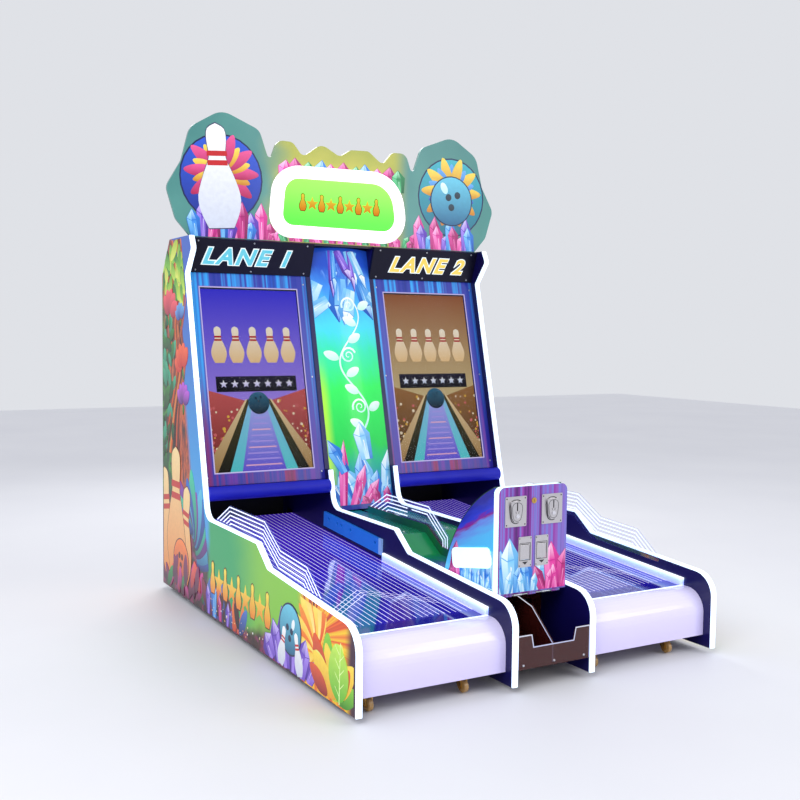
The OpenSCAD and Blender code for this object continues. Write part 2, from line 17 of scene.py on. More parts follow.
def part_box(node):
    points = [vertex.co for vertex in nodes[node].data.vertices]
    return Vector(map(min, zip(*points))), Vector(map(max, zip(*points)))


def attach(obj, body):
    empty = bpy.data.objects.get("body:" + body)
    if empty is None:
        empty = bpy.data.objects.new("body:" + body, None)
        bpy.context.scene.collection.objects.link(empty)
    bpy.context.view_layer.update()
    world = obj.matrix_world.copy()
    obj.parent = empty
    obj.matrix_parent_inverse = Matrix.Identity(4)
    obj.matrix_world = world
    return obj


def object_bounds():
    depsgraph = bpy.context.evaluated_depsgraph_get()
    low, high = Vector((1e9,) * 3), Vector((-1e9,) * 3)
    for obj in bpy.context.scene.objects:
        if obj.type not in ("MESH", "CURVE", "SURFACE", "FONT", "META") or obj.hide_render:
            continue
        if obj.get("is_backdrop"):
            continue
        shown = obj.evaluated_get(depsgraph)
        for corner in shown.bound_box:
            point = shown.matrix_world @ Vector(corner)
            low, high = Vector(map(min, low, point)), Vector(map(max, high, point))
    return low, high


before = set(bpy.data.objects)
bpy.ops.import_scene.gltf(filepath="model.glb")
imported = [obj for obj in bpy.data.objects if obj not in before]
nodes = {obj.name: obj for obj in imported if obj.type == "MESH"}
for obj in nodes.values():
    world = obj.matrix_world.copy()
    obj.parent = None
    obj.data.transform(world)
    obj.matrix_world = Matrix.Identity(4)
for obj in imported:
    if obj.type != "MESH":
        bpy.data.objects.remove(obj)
cad_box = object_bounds()
scene = bpy.context.scene
scene.view_settings.view_transform = "Standard"
print("nodes:", len(nodes), "box:", [[round(v, 3) for v in corner] for corner in cad_box])

# %% [markdown]
# ## The camera
# A product picture of such a machine is taken from the front left corner, at chest height, so that one
# long printed side and both lanes show. The camera's axes are worked out from its turn, dip and roll.

# %% Camera
camera_place = Vector((-2.5415, -4.245, 1.388))
turn, dip, roll = (math.radians(a) for a in (29.46, 3.89, 0.553))
forward = Vector((math.sin(turn)*math.cos(dip), math.cos(turn)*math.cos(dip), -math.sin(dip)))
level = Vector((math.cos(turn), -math.sin(turn), 0))
upright = level.cross(forward)
right = level*math.cos(roll) + upright*math.sin(roll)
above = upright*math.cos(roll) - level*math.sin(roll)
camera = bpy.data.objects.new("camera", bpy.data.cameras.new("camera"))
camera.data.lens, camera.data.sensor_width = 46.24, 36
camera.data.shift_x, camera.data.shift_y = 0.0175, 0.0023
camera.matrix_world = Matrix.Translation(camera_place) @ Matrix((right, above,
                                                                 -forward)).transposed().to_4x4()
scene.collection.objects.link(camera)
scene.camera = camera
print("camera to machine:", round(camera_place.length, 2), "m")

# %% [markdown]
# ## Light and floor
# Soft boxes light a product like this from both sides, because hard lamps would drown its own lights.
# The world is a pale grey, which the glossy prints mirror, and the floor is plain.

# %% Lights and world
def soft_box(name, place, aim, size, power, colour=(1, 1, 1)):
    """A square area lamp that looks at a point."""
    lamp = bpy.data.lights.new(name, "AREA")
    lamp.size, lamp.energy, lamp.color = size, power, colour
    box = bpy.data.objects.new(name, lamp)
    box.location = place
    box.rotation_euler = (Vector(aim) - Vector(place)).to_track_quat("-Z", "Y").to_euler()
    scene.collection.objects.link(box)


soft_box("key", (-3.6, -3.2, 3.6), (0, 0, 1.0), 2.6, 100)
soft_box("fill", (3.0, -4.6, 3.0), (0.3, 0, 0.8), 2.6, 62)
soft_box("rim", (0.8, 3.8, 3.8), (0, 0, 1.2), 2.4, 75)
world = bpy.data.worlds.new("studio")
world.use_nodes = True
world.node_tree.nodes["Background"].inputs["Color"].default_value = (0.93, 0.95, 1.0, 1)
world.node_tree.nodes["Background"].inputs["Strength"].default_value = 0.8
scene.world = world

# %% [markdown]
# ## Writing a finish as sums
# A finish is a network of nodes. Wrapping a socket in a small class lets the network be written as
# ordinary sums, such as `1 - mask` or `height * 3`, which are far easier to read back.

# %% A socket that can be added and multiplied
class Value:
    """A number or colour that varies over a surface."""

    def __init__(self, look, socket):
        self.look, self.socket = look, socket

    def math(self, operation, *others):
        return self.look.add("ShaderNodeMath", {"operation": operation}, dict(enumerate([self, *others])))

    def __add__(self, other):
        return self.math("ADD", other)

    def __sub__(self, other):
        return self.math("SUBTRACT", other)

    def __mul__(self, other):
        return self.math("MULTIPLY", other)

    def __truediv__(self, other):
        return self.math("DIVIDE", other)

    def __rsub__(self, other):
        return self.look.add("ShaderNodeMath", {"operation": "SUBTRACT"}, {0: other, 1: self})

    __radd__, __rmul__ = __add__, __mul__


def paint(code):
    """A screen colour such as ff8800 as the linear light that a shader wants."""
    parts = [int(code[i:i + 2], 16)/255 for i in (0, 2, 4)]
    return (*[p/12.92 if p <= 0.04045 else ((p + 0.055)/1.055)**2.4 for p in parts], 1)


class Look:
    """One finish: a Principled shader, the piece's own coordinates and a few patterns."""

    def __init__(self, name, colour, roughness=0.4, **others):
        self.material = bpy.data.materials.new(name)
        self.material.use_nodes = True
        self.tree = self.material.node_tree
        self.shader = self.tree.nodes["Principled BSDF"]
        at = self.add("ShaderNodeTexCoord", output="Object")
        self.at = at
        self.x, self.y, self.z = (self.add("ShaderNodeSeparateXYZ", None, {0: at}, axis) for axis in "XYZ")
        self.set("Base Color", paint(colour) if isinstance(colour, str) else colour)
        self.set("Roughness", roughness)
        for socket, value in others.items():
            self.set(socket.replace("_", " ").title().replace("Ior", "IOR"), value)

    def set(self, socket, value):
        if isinstance(value, Value):
            self.tree.links.new(value.socket, self.shader.inputs[socket])
        else:
            self.shader.inputs[socket].default_value = value

    def add(self, kind, settings=None, inputs=None, output=0):
        """Any node: its type, its settings, the values or links of its sockets, and the output wanted."""
        node = self.tree.nodes.new(kind)
        for key, value in (settings or {}).items():
            if key == "stops":
                for i, (place, colour) in enumerate(value):
                    stop = node.color_ramp.elements[i] if i < 2 else node.color_ramp.elements.new(place)
                    stop.position, stop.color = place, paint(colour)
            elif key == "interpolation" and kind == "ShaderNodeValToRGB":
                node.color_ramp.interpolation = value
            else:
                setattr(node, key, value)
        for key, value in (inputs or {}).items():
            if isinstance(value, Value):
                self.tree.links.new(value.socket, node.inputs[key])
            else:
                node.inputs[key].default_value = value
        return Value(self, node.outputs[output])

    def mix(self, mask, first, second):
        """First colour where the mask is 0, second where it is 1."""
        first, second = (paint(c) if isinstance(c, str) else c for c in (first, second))
        return self.add("ShaderNodeMix", {"data_type": "RGBA"}, {0: mask, 6: first, 7: second}, 2)

    def ramp(self, value, *stops, interpolation="LINEAR"):
        return self.add("ShaderNodeValToRGB", {"interpolation": interpolation, "stops": stops}, {0: value})

    def noise(self, scale, detail=2.0, at=None, rough=0.5):
        return self.add("ShaderNodeTexNoise", None, {
            "Vector": at or self.at, "Scale": scale, "Detail": detail, "Roughness": rough}, "Fac")

    def vector(self, x=0.0, y=0.0, z=0.0):
        return self.add("ShaderNodeCombineXYZ", None, {0: x, 1: y, 2: z})

    def rise(self, value, low, high):
        """0 below low, 1 above high and a smooth step between; turned over if low is the larger."""
        return self.add("ShaderNodeMapRange", {"interpolation_type": "SMOOTHSTEP"},
                        {0: value, 1: low, 2: high})

    def bump(self, height, strength=0.3, distance=0.001):
        self.set("Normal", self.add("ShaderNodeBump", None, {
            "Height": height, "Strength": strength, "Distance": distance}))

    def glow(self, colour, strength):
        self.set("Emission Color", paint(colour) if isinstance(colour, str) else colour)
        self.set("Emission Strength", strength)


def wear(look, *names):
    """Gives CAD nodes this finish."""
    for name in names:
        for slot in nodes[name].material_slots:
            slot.material = look.material
    print(look.material.name, "on", ", ".join(names))


# %% [markdown]
# ## Lamps and lit edges
# White light strips are diffuse plastic over rows of small lamps, so their light is even but not flat:
# a faint ripple along each strip tells where the lamps sit.

# %% Strips, lamps and the milky aprons
def strip_look(name, colour, strength, ripple=30.0):
    look = Look(name, "f4f8ff", 0.35, coat_weight=0.3)
    dots = (look.y*ripple).math("FRACT") - 0.5
    look.glow(look.mix(dots.math("ABSOLUTE")*0.5, colour, "ffffff"), strength)
    return look


wear(strip_look("edge strip, ice white", "b8dcff", 1.05), "edge_lights")
lane_strip = strip_look("lane strip, blue white", "9cc0ff", 1.05, 24.0)
strip_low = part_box("lane_lights")[0]
LANE_SLOPE = math.tan(math.radians(3.55))
above = lane_strip.z - strip_low.z - (lane_strip.y - strip_low.y)*LANE_SLOPE
lane_strip.glow(lane_strip.ramp(above/0.045, (0.0, "1c28d8"), (0.45, "4a7cff"), (0.7, "a8d4ff"),
                                (0.85, "f4faff")), 1.1)
wear(lane_strip, "lane_lights")
wear(strip_look("coin box strip, mint", "8feadc", 0.95, 60.0), "coin_lights")
sign_rim = Look("sign rim, pink white", "ffeef6", 0.3)
sign_rim.glow(sign_rim.mix(sign_rim.noise(3.0), "ffdcf0", "ffffff"), 1.0)
wear(sign_rim, "topper_rim")

apron_low, apron_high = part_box("lane_aprons")
milk = Look("milky acrylic apron", "c0b6ea", 0.25, coat_weight=0.4, coat_roughness=0.05)
apron_share = milk.rise(milk.z, apron_low.z, apron_high.z)
# Painted highlight: the apron is lighter towards its top. The glow is painted glow, a faint lilac light of its
# own.
milk.set("Base Color", milk.mix(apron_share, "cdc5ea", "dcd6f4"))
milk.glow(milk.mix(apron_share*0.7 + milk.noise(1.3)*0.3, "b4a8e4", "c6bef2"), 0.22)
milk.bump(milk.noise(180.0, 3.0), 0.04)
wear(milk, "lane_aprons")

# %% [markdown]
# ## Boards, metals and rubber
# The inner boards have a navy laminate with a fine orange-peel skin. Zinc, brass and powder-coated
# steel each get their own grain, because a flat grey never reads as metal.

# %% Plain finishes
def laminate(name, colour, deep, roughness=0.34):
    """Satin laminate: a slow drift in colour and a fine skin."""
    look = Look(name, colour, roughness, specular_ior_level=0.35)
    look.set("Base Color", look.mix(look.noise(2.2, 3.0), deep, colour))
    look.set("Roughness", look.noise(35.0, 3.0)*0.12 + (roughness - 0.06))
    look.bump(look.noise(420.0, 2.0), 0.12)
    return look


def metal(name, colour, roughness=0.3, grain=260.0, stretch=(1.0, 1.0, 14.0), metallic=1.0):
    """Brushed or plated metal: grain drawn out along one axis and a few handling marks."""
    look = Look(name, colour, roughness, metallic=metallic)
    lines = look.noise(grain, 3.0, look.vector(look.x*stretch[0], look.y*stretch[1], look.z/stretch[2]))
    look.set("Roughness", lines*0.25 + look.noise(9.0, 4.0)*0.18 + (roughness - 0.18))
    look.bump(lines, 0.1)
    return look


wear(laminate("navy laminate", "130e5c", "0b083a"), "side_panel_2", "side_panel_3")
wear(laminate("black laminate", "17171c", "0c0c10"), "back_panel", "roof_panel", "rear_door_1",
     "rear_door_2")
wear(metal("black powder coat", "1d1d22", 0.5, 300.0, (1, 1, 1), 0.2), "base_frames", "return_chute")
wear(metal("pit liner", "121216", 0.7, 90.0, (1, 1, 1), 0.0), "ball_pits")
wear(metal("zinc plate", "b9bcc2", 0.34, 120.0, (1, 1, 1)),
     "topper_brackets", "levelling_feet", "hinge_leaves", "screws")
wear(metal("steel cases", "43474f", 0.45), "electronics", "cash_box", "monitors")
wear(metal("brushed coin plates", "c9c6c8", 0.28, 420.0, (1, 1, 10)),
     "coin_plates", "coin_flap_1", "coin_flap_2")
wear(metal("polished buttons", "dcdce2", 0.2, 60.0, (1, 1, 1)), "coin_button_1", "coin_button_2")
wear(metal("brass lock", "caa55a", 0.3, 200.0, (1, 1, 1)), "coin_lock")
wear(metal("gold caster forks", "c99b52", 0.3, 150.0, (1, 1, 1)), "rear_caster_forks",
     *[f"caster_fork_{i}" for i in range(1, 5)])

caster = Look("amber caster wheels", "b98b4a", 0.3, coat_weight=0.4)
caster.set("Base Color", caster.mix(caster.noise(60.0, 4.0), "8a6230", "d2a865"))
caster.bump(caster.noise(300.0), 0.15)
wear(caster, *[f"caster_wheel_{i}" for i in range(1, 7)])

plywood = Look("raw plywood", "b58e5c", 0.6)
rings = plywood.noise(7.0, 5.0, plywood.vector(plywood.x*9.0, plywood.y*0.7, plywood.z*60.0))
plywood.set("Base Color", plywood.ramp(rings, (0.3, "8f6a3e"), (0.55, "c19a66"), (0.8, "dcbb88")))
plywood.bump(rings, 0.2)
wear(plywood, "lane_boards")

foam = Look("blue vinyl over foam", "1a1fb8", 0.5, specular_ior_level=0.3)
foam.set("Base Color", foam.mix(foam.noise(6.0, 3.0), "10129a", "1c24c0"))
foam.bump(foam.noise(500.0, 2.0), 0.25)
wear(foam, "bumper_bars")

inlet = Look("black moulded socket", "141416", 0.5)
inlet.bump(inlet.noise(900.0), 0.2)
wear(inlet, "power_inlet")
rocker = Look("red rocker", "c01018", 0.3, coat_weight=0.5)
rocker.set("Base Color", rocker.mix(rocker.noise(80.0), "a80c14", "d81a22"))
rocker.glow("c01018", 0.25)
wear(rocker, "power_switch")

blue_plate = Look("blue sensor plate", "1d78e2", 0.4)
sensor_low, sensor_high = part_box("sensor_bars")
pale_end = blue_plate.rise(blue_plate.y, sensor_low.y + 0.028, sensor_low.y + 0.02)
blue_plate.set("Base Color",
               blue_plate.mix(pale_end, blue_plate.mix(blue_plate.noise(5.0), "1766cf", "2b8cf2"),
                              "9fc4f0"))
blue_plate.bump(blue_plate.noise(260.0), 0.1)
# Painted glow: the blue plate gives off a faint blue light of its own.
blue_plate.glow("1d78e2", 0.12)
wear(blue_plate, "sensor_bars")

# %% [markdown]
# ## Clear plastics
# Display glass, guards and the smoked tray are thin sheets. A low alpha with a sharp mirror is enough
# for a sheet, and it keeps what lies behind them crisp.

# %% Glass, guards and tray
def clear_sheet(name, colour, alpha, roughness=0.04, mirror=0.6):
    look = Look(name, colour, roughness, alpha=alpha, specular_ior_level=mirror)
    look.set("Roughness", look.noise(14.0, 3.0)*0.05 + roughness)
    return look


wear(clear_sheet("display glass", "04050c", 0.1, mirror=0.2), "screen_glasses")
wear(clear_sheet("clear guard", "7a88e8", 0.09), "wing_guards")
wear(clear_sheet("smoked brown acrylic", "451714", 0.76), "ball_tray")

# %% [markdown]
# ## Streaked and blended prints
# Much of the artwork is light streaks: bands of blue, lilac and magenta that run the height of a panel.
# One noise read along a single axis makes them, and a ramp turns its value into ink colours.

# %% Streak prints
def streaks(look, along, density, seed):
    """Hard and soft stripes that stay the same along one axis."""
    wide = look.noise(density, 2.0, look.vector(along, seed, 0.0))
    fine = look.noise(density*5, 1.0, look.vector(along, seed + 3.0, 0.0))
    return wide*0.75 + fine*0.25


surround_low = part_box("surround_1")[0]
gloss = {"coat_weight": 0.22, "coat_roughness": 0.1, "specular_ior_level": 0.3}
for i, seed in ((1, 1.0), (2, 4.0)):
    surround = Look(f"streak print {i}", "2040c0", 0.3, **gloss)
    low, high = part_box(f"surround_{i}")
    tall = (surround.z - low.z)/(high.z - low.z)
    wide = streaks(surround, surround.x, 9.0, seed)
    top = surround.ramp(wide, (0.3, "060a3c"), (0.4, "1448b0"), (0.46, "2a9ae4"), (0.52, "2c3498"),
                        (0.6, "102a90"), (0.7, "0c1450"))
    foot = surround.ramp(wide, (0.3, "12083c"), (0.42, "86085c"), (0.5, "14248c"), (0.58, "5c1c90"),
                         (0.7, "26064c"))
    surround.set("Base Color",
                 surround.mix(surround.rise(tall + surround.noise(2.0)*0.3, 0.75, 0.25), top, foot))
    # Painted glow: the print gives off a faint light in its own colours.
    surround.glow(surround.mix(surround.rise(tall, 0.75, 0.25), top, foot), 0.22)
    wear(surround, f"surround_{i}")

door_print = Look("coin door print", "9040c0", 0.28, **gloss)
lilac = streaks(door_print, door_print.x, 16.0, 8.0)
outside = door_print.rise(door_print.y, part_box("coin_door")[0].y + 0.003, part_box("coin_door")[0].y + 0.002)
lilac_art = door_print.ramp(lilac, (0.28, "120a3c"), (0.38, "5a1478"), (0.46, "9a3ca8"), (0.52, "7a78cc"),
                            (0.58, "7a2890"),
                            (0.7, "260c50"))
door_print.set("Base Color", door_print.mix(outside, "6c6f76", lilac_art))
wear(door_print, "coin_door")

cheek_low, cheek_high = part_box("coin_cheeks")
cheek = Look("coin cheek print", "2040c0", 0.3, **gloss)
slanted = (cheek.z - cheek_low.z) + (cheek.y - cheek_low.y)*0.5
grain = cheek.noise(18.0, 2.0, cheek.vector(slanted*3.0, 2.0, (cheek.y - cheek.z)*0.4))
shaded = slanted/(cheek_high.z - cheek_low.z) + (grain - 0.5)*0.16
cheek_art = cheek.ramp(shaded, (0.2, "bfe6fa"), (0.42, "4fc0ee"), (0.6, "57b8ea"), (0.74, "6a86d8"),
                       (0.78, "8a1c7c"), (0.82, "2a3cc4"), (0.95, "1b1a8c"))
cheek.set("Base Color", cheek_art)
# Painted glow: the cheek print gives off a faint light in its own colours.
cheek.glow(cheek_art, 0.15)
wear(cheek, "coin_cheeks")

hood = laminate("dark green hood", "0c3f2c", "062418")
wear(hood, "coin_hood")
header = Look("midnight header print", "0d0a34", 0.4, specular_ior_level=0.25)
header.set("Base Color", header.mix(header.noise(1.4, 3.0), "05040f", "0c0930"))
wear(header, "header_boards")

# %% [markdown]
# The column print falls from deep-blue swirls through turquoise to bright green, and the cover
# behind the coin box carries the same green on to a teal.

# %% Column and cover prints
column_low, column_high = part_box("centre_column")
column = Look("column print", "20c0a0", 0.28, **gloss)
tall = (column.z - column_low.z)/(column_high.z - column_low.z)
swirl = column.noise(5.0, 4.0, column.vector(column.x*2.0, 0.0, column.z + column.x*1.5), 0.6)
drift = tall + (swirl - 0.5)*0.12
column_art = column.ramp(drift, (0.02, "1c2a88"), (0.12, "1e8a9a"), (0.24, "22c24e"), (0.46, "2fe05a"),
                         (0.6, "34d6a8"), (0.7, "45c8e8"), (0.84, "3a8ce0"), (0.93, "1c48b4"))
yellow_side = column.rise(column.x, -0.13, -0.18)*column.rise(tall, 0.6, 0.4)
column_art = column.mix(yellow_side*0.8, column_art, "b8e83a")
ripple = column.rise(swirl, 0.56, 0.66)*column.rise(tall, 0.86, 0.94)
column_art = column.mix(ripple, column_art, "7fb4f4")
column.set("Base Color", column_art)
# Painted glow: the column print gives off a faint light in its own colours.
column.glow(column_art, 0.3)
wear(column, "centre_column")

cover = Look("centre cover print", "158060", 0.26, **gloss)
cover_low, cover_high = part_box("centre_cover")
back_share = (cover.y - cover_low.y)/(cover_high.y - cover_low.y)
shards = cover.noise(7.0, 3.0, cover.vector(cover.x*3.0 + cover.y, cover.y*0.5, 0.0))
# The near-black band just left of the middle is painted shadow under the centre guard.
cover.set("Base Color",
          cover.mix(cover.rise(cover.x, -0.0145, -0.0155)*cover.rise(cover.x, -0.0365, -0.0355),
    cover.ramp(back_share + (shards - 0.5)*0.3, (0.05, "1a3a8c"), (0.25, "0c8a4c"), (0.6, "11695e"),
               (0.9, "1f9aa8")), "0b0b0e"))
wear(cover, "centre_cover")

# %% [markdown]
# ## The long sides
# The two outer boards are navy inside and printed outside. The ground of that print is soft: a dark
# wood at the back, a strip of sky along the leaning edge, a meadow in front and a sunburst at the nose.
# The crisp leaves, flowers and fruit on top are cut film, which comes later.

# %% Side panel print
panel_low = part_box("side_panel_1")[0]
edge_foot = Vector((1.559, 0.461))
edge_slope = 0.2475


def side_ground(look):
    """The soft ground of the side print, from distances behind the front edge and above the lower edge."""
    back = look.y - panel_low.y + 0.007
    high = look.z - panel_low.z
    warp = look.noise(3.0, 3.0) - 0.5
    behind = back - (high - edge_foot.y)*edge_slope - edge_foot.x + warp*0.05
    bark = look.noise(9.0, 4.0, look.vector(back*4.0, back + high*0.6, high*0.8), 0.6)
    wood = look.ramp(bark, (0.35, "2a0a06"), (0.45, "8a2a10"), (0.55, "d8601c"), (0.68, "5a1a0c"))
    leaves = look.ramp(look.noise(11.0, 4.0), (0.35, "08160c"), (0.5, "14501f"), (0.62, "3f9a2c"),
                       (0.72, "0c2412"))
    upper = look.mix(look.rise(behind, 0.36, 0.44), wood, leaves)
    sky = look.mix(look.rise(high, 0.5, 1.7), "38a4ea", "1c5cc8")
    upper = look.mix(look.rise(behind, 0.2, 0.14), upper, sky)
    meadow = look.mix(look.rise(back + warp*0.3, 1.3, 0.8), "12a860", "86cc38")
    thicket = look.ramp(look.noise(16.0, 3.0), (0.35, "1a0a10"), (0.5, "3c1410"), (0.62, "8a1c5c"),
                        (0.75, "2a1030"))
    meadow = look.mix(look.rise(high + warp*0.25, 0.12, 0.05), meadow, thicket)
    low_wood = look.mix(look.rise(high + warp*0.4, 0.42, 0.3), upper, thicket)
    art = look.mix(look.rise(back + warp*0.1, 1.5, 1.56), meadow,
                   look.mix(look.rise(high, 0.62, 0.5), upper, low_wood))
    from_sun = look.add("ShaderNodeMath", {"operation": "ARCTAN2"}, {0: high - 0.2, 1: back - 0.36})
    rays = look.noise(3.2, 3.0, look.vector(from_sun*1.6, 1.0, 0.0))
    burst = look.ramp(rays, (0.34, "9a0c0c"), (0.44, "f0560c"), (0.52, "ffd21c"), (0.6, "f8861c"),
                      (0.7, "6a0a1c"))
    art = look.mix(look.rise(back + warp*0.1, 0.5, 0.42), art, burst)
    edge = look.rise(back + warp*0.08, 0.1, 0.04)
    return look.mix(edge, art, "3a0a30")


def outer_board(i, face):
    """Print on the outside, navy laminate inside and at the edges."""
    look = Look(f"side print {i}", "20a060", 0.3, **gloss)
    outside = look.rise(look.x, face - math.copysign(0.001, face), face - math.copysign(0.0004, face))
    look.set("Base Color",
             look.mix(outside, look.mix(look.noise(2.2), "0b083a", "130e5c"), side_ground(look)))
    look.bump(look.noise(420.0, 2.0), 0.05)
    wear(look, f"side_panel_{i}")


outer_board(1, panel_low.x)
outer_board(4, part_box("side_panel_4")[1].x)

# %% [markdown]
# ## The lanes
# A lane is a clear sheet over lamps with fine white grooves cut along it. The grooves catch the light
# and glow, and stop short of a dark band at the player's end. A nest of pointed outlines marks the
# middle of the front.

# %% Lane sheets
LANE_RISE = math.radians(3.55)
LANE_SHEET = 0.008
lane_low, lane_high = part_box("lane_surface_1")
lane_width = lane_high.x - lane_low.x
lane_middles = [sum(c.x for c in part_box(f"lane_surface_{i}"))/2 for i in (1, 2)]
groove_pitch = lane_width/25


def lane_look(i, middle):
    look = Look(f"lit lane {i}", "3a22b0", 0.09, coat_weight=0.35, coat_roughness=0.03,
                specular_ior_level=0.25)
    across = look.x - middle
    along = (look.y - lane_low.y)/math.cos(LANE_RISE)
    wave = ((across/groove_pitch + 100.5).math("FRACT") - 0.5).math("ABSOLUTE")
    groove = look.rise(wave, 0.075, 0.045)*look.rise(along, 0.095, 0.1)
    far = look.rise(along, 0.1, 1.7)
    bed = look.mix(far, "140e70", "3a22a8")
    bed = look.mix(look.rise(look.noise(1.6, 2.0), 0.45, 0.65), bed, "1c0f60")
    bed = look.mix(look.rise(along, 0.1, 0.07), bed, "0a0830")
    nest = (along + across.math("ABSOLUTE")*0.9 - 0.42)
    step = ((nest/0.032 + 50.0).math("FRACT") - 0.5).math("ABSOLUTE")
    arrow = look.rise(step, 0.09, 0.05)*look.rise(nest, -0.002, 0.0)*look.rise(nest, 0.1, 0.098)
    arrow = arrow*look.rise(across.math("ABSOLUTE"), 0.24, 0.238)
    lines = groove.math("MAXIMUM", arrow)
    look.set("Base Color", look.mix(lines, bed, "f0eaff"))
    look.glow(look.mix(lines, look.mix(far, "1a10a8", "4424b8"), "d8d0ff"), 0.62)
    look.set("Roughness", look.noise(4.0, 3.0)*0.06 + 0.05)
    wear(look, f"lane_surface_{i}")


for i, middle in enumerate(lane_middles, 1):
    lane_look(i, middle)
print("lane width:", round(lane_width, 3), "groove pitch:", round(groove_pitch, 4))

# %% [markdown]
# ## Cut film
# The crisp part of a print is made as thin film: flat shapes laid on each other, each a hair thicker
# than the last, so that no two faces share a plane. Colours go into an attribute on the corners, with
# one colour at the foot of a shape and another at its top, and one finish reads them all.

# %% The film class
FILM_STEP = 0.00006
film_look = Look("printed film", "ffffff", 0.35, **gloss)
ink = film_look.add("ShaderNodeAttribute", {"attribute_name": "tint"}, None, "Color")
grainy = film_look.mix(film_look.noise(45.0, 4.0)*0.2, ink, "000000")
film_look.set("Base Color", grainy)
# Painted glow: every piece of printed film gives off a faint light in its own ink.
film_look.glow(grainy, 0.14)
lit_look = Look("lit film", "ffffff", 0.5, specular_ior_level=0.1)
ink = lit_look.add("ShaderNodeAttribute", {"attribute_name": "tint"}, None, "Color")
lit_look.set("Base Color", lit_look.mix(0.9, ink, "000000"))
lit_look.glow(lit_look.mix(lit_look.noise(90.0)*0.1, ink, "000000"), 0.8)


def add_piece(name, mesh, look, body="cabinet"):
    """Turns a finished bmesh into a piece that rides on a body."""
    data = bpy.data.meshes.new(name)
    mesh.to_mesh(data)
    mesh.free()
    data.materials.append(look.material)
    piece = bpy.data.objects.new(name, data)
    scene.collection.objects.link(piece)
    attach(piece, body)
    print(name, len(data.polygons), "faces")
    return piece


class Film:
    """Flat coloured shapes on one plane. walls cut shapes off, folds only divide them so that they can bend.

    A shape is a hair thicker than the shapes it lies on, and no thicker than it needs to be."""

    def __init__(self, walls=(), folds=()):
        self.mesh = bmesh.new()
        self.mesh.loops.layers.float_color.new("tint")
        self.walls, self.folds = list(walls), list(folds)
        self.placed = []

    def outline(self, points):
        """The flat outline, cut by the walls and divided by the folds."""
        part = bmesh.new()
        part.faces.new([part.verts.new((x, y, 0)) for x, y in points])
        for i, (x, y, across, up) in enumerate(self.walls + self.folds):
            sides = [(px - x)*across + (py - y)*up for px, py in points]
            if max(sides) > 0 and (min(sides) < 0 or i < len(self.walls)):
                bmesh.ops.bisect_plane(part, geom=[*part.verts, *part.edges, *part.faces], dist=1e-6,
                                       plane_co=(x, y, 0), plane_no=(across, up, 0),
                                       clear_outer=i < len(self.walls))
        return part

    def layer(self, part):
        """The height of a new shape: above every shape whose frame it touches."""
        xs, ys = ([v.co[k] for v in part.verts] for k in (0, 1))
        box = (min(xs), max(xs), min(ys), max(ys))
        under = [h for b, h in self.placed
                 if b[0] < box[1] and box[0] < b[1] and b[2] < box[3] and box[2] < b[3]]
        height = max(under, default=0.0003) + FILM_STEP
        self.placed.append((box, height))
        return height

    def shape(self, points, low, high=None):
        """One shape: low is its colour at the foot and high its colour at the top."""
        part = self.outline(points)
        if part.faces:
            lifted = bmesh.ops.extrude_face_region(part, geom=part.faces[:])["geom"]
            tops = [g for g in lifted if isinstance(g, bmesh.types.BMVert)]
            bmesh.ops.translate(part, vec=(0, 0, self.layer(part)), verts=tops)
            tint = part.loops.layers.float_color.new("tint")
            foot, top = min(p[1] for p in points), max(p[1] for p in points)
            first, last = paint(low), paint(high or low)
            for loop in (loop for face in part.faces for loop in face.loops):
                share = (loop.vert.co.y - foot)/(top - foot)
                loop[tint] = [a + (b - a)*share for a, b in zip(first, last)]
            carrier = bpy.data.meshes.new("carrier")
            part.to_mesh(carrier)
            self.mesh.from_mesh(carrier)
            bpy.data.meshes.remove(carrier)
        part.free()

    def rimmed(self, points, low, high, rim, width):
        """A shape with a line round it."""
        self.shape(beside(points, -width, True), rim)
        self.shape(points, low, high)

    def finish(self, name, place, look=film_look, body="cabinet"):
        """place takes a point on the film (across, up, out) to its point on the machine."""
        for vert in self.mesh.verts:
            vert.co = place(*vert.co)
        bmesh.ops.recalc_face_normals(self.mesh, faces=self.mesh.faces)
        return add_piece(name, self.mesh, look, body)


# %% [markdown]
# ## Outlines
# Every drawing is put together from a few outlines of unit size: a disc, a leaf, a star, a bowling pin.
# One function moves, turns and sizes them, one rounds corners by cutting them, and one draws a
# tapering stroke along a path.

# %% Outline helpers
def moved(points, x=0.0, y=0.0, turn=0.0, size=1.0, wide=1.0):
    c, s = math.cos(math.radians(turn)), math.sin(math.radians(turn))
    return [(x + (px*wide*c - py*s)*size, y + (px*wide*s + py*c)*size) for px, py in points]


def soft(points, times=2):
    """Cuts every corner of a closed outline, which rounds it."""
    for _ in range(times):
        after = points[1:] + points[:1]
        points = [(a[0]*(1 - t) + b[0]*t, a[1]*(1 - t) + b[1]*t) for a,
                  b in zip(points, after) for t in (0.25, 0.75)]
    return points


def flow(points, steps=6):
    """A smooth open path through the points."""
    ends = [points[0], *points, points[-1]]
    path = []
    for a, b, c, d in zip(ends, ends[1:], ends[2:], ends[3:]):
        for i in range(steps):
            t = i/steps
            path.append(tuple(b[k] + 0.5*t*(c[k] - a[k] + t*(2*a[k] - 5*b[k] + 4*c[k] - d[k]
                        + t*(3*(b[k] - c[k]) + d[k] - a[k]))) for k in (0, 1)))
    return [*path, points[-1]]


def beside(path, distance, closed=False):
    """The path moved sideways, to its left when distance is positive."""
    out = []
    for i, (x, y) in enumerate(path):
        before = path[i - 1] if closed or i else None
        after = path[(i + 1) % len(path)] if closed or i < len(path) - 1 else None
        arms = [(b[0] - a[0], b[1] - a[1]) for a, b in ((before, (x, y)), ((x, y), after)) if a and b]
        units = [(ax/math.hypot(ax, ay), ay/math.hypot(ax, ay)) for ax, ay in arms]
        sx, sy = (sum(u[k] for u in units)/len(units) for k in (0, 1))
        reach = distance/max(0.4, sx*sx + sy*sy)
        out.append((x - sy*reach, y + sx*reach))
    return out


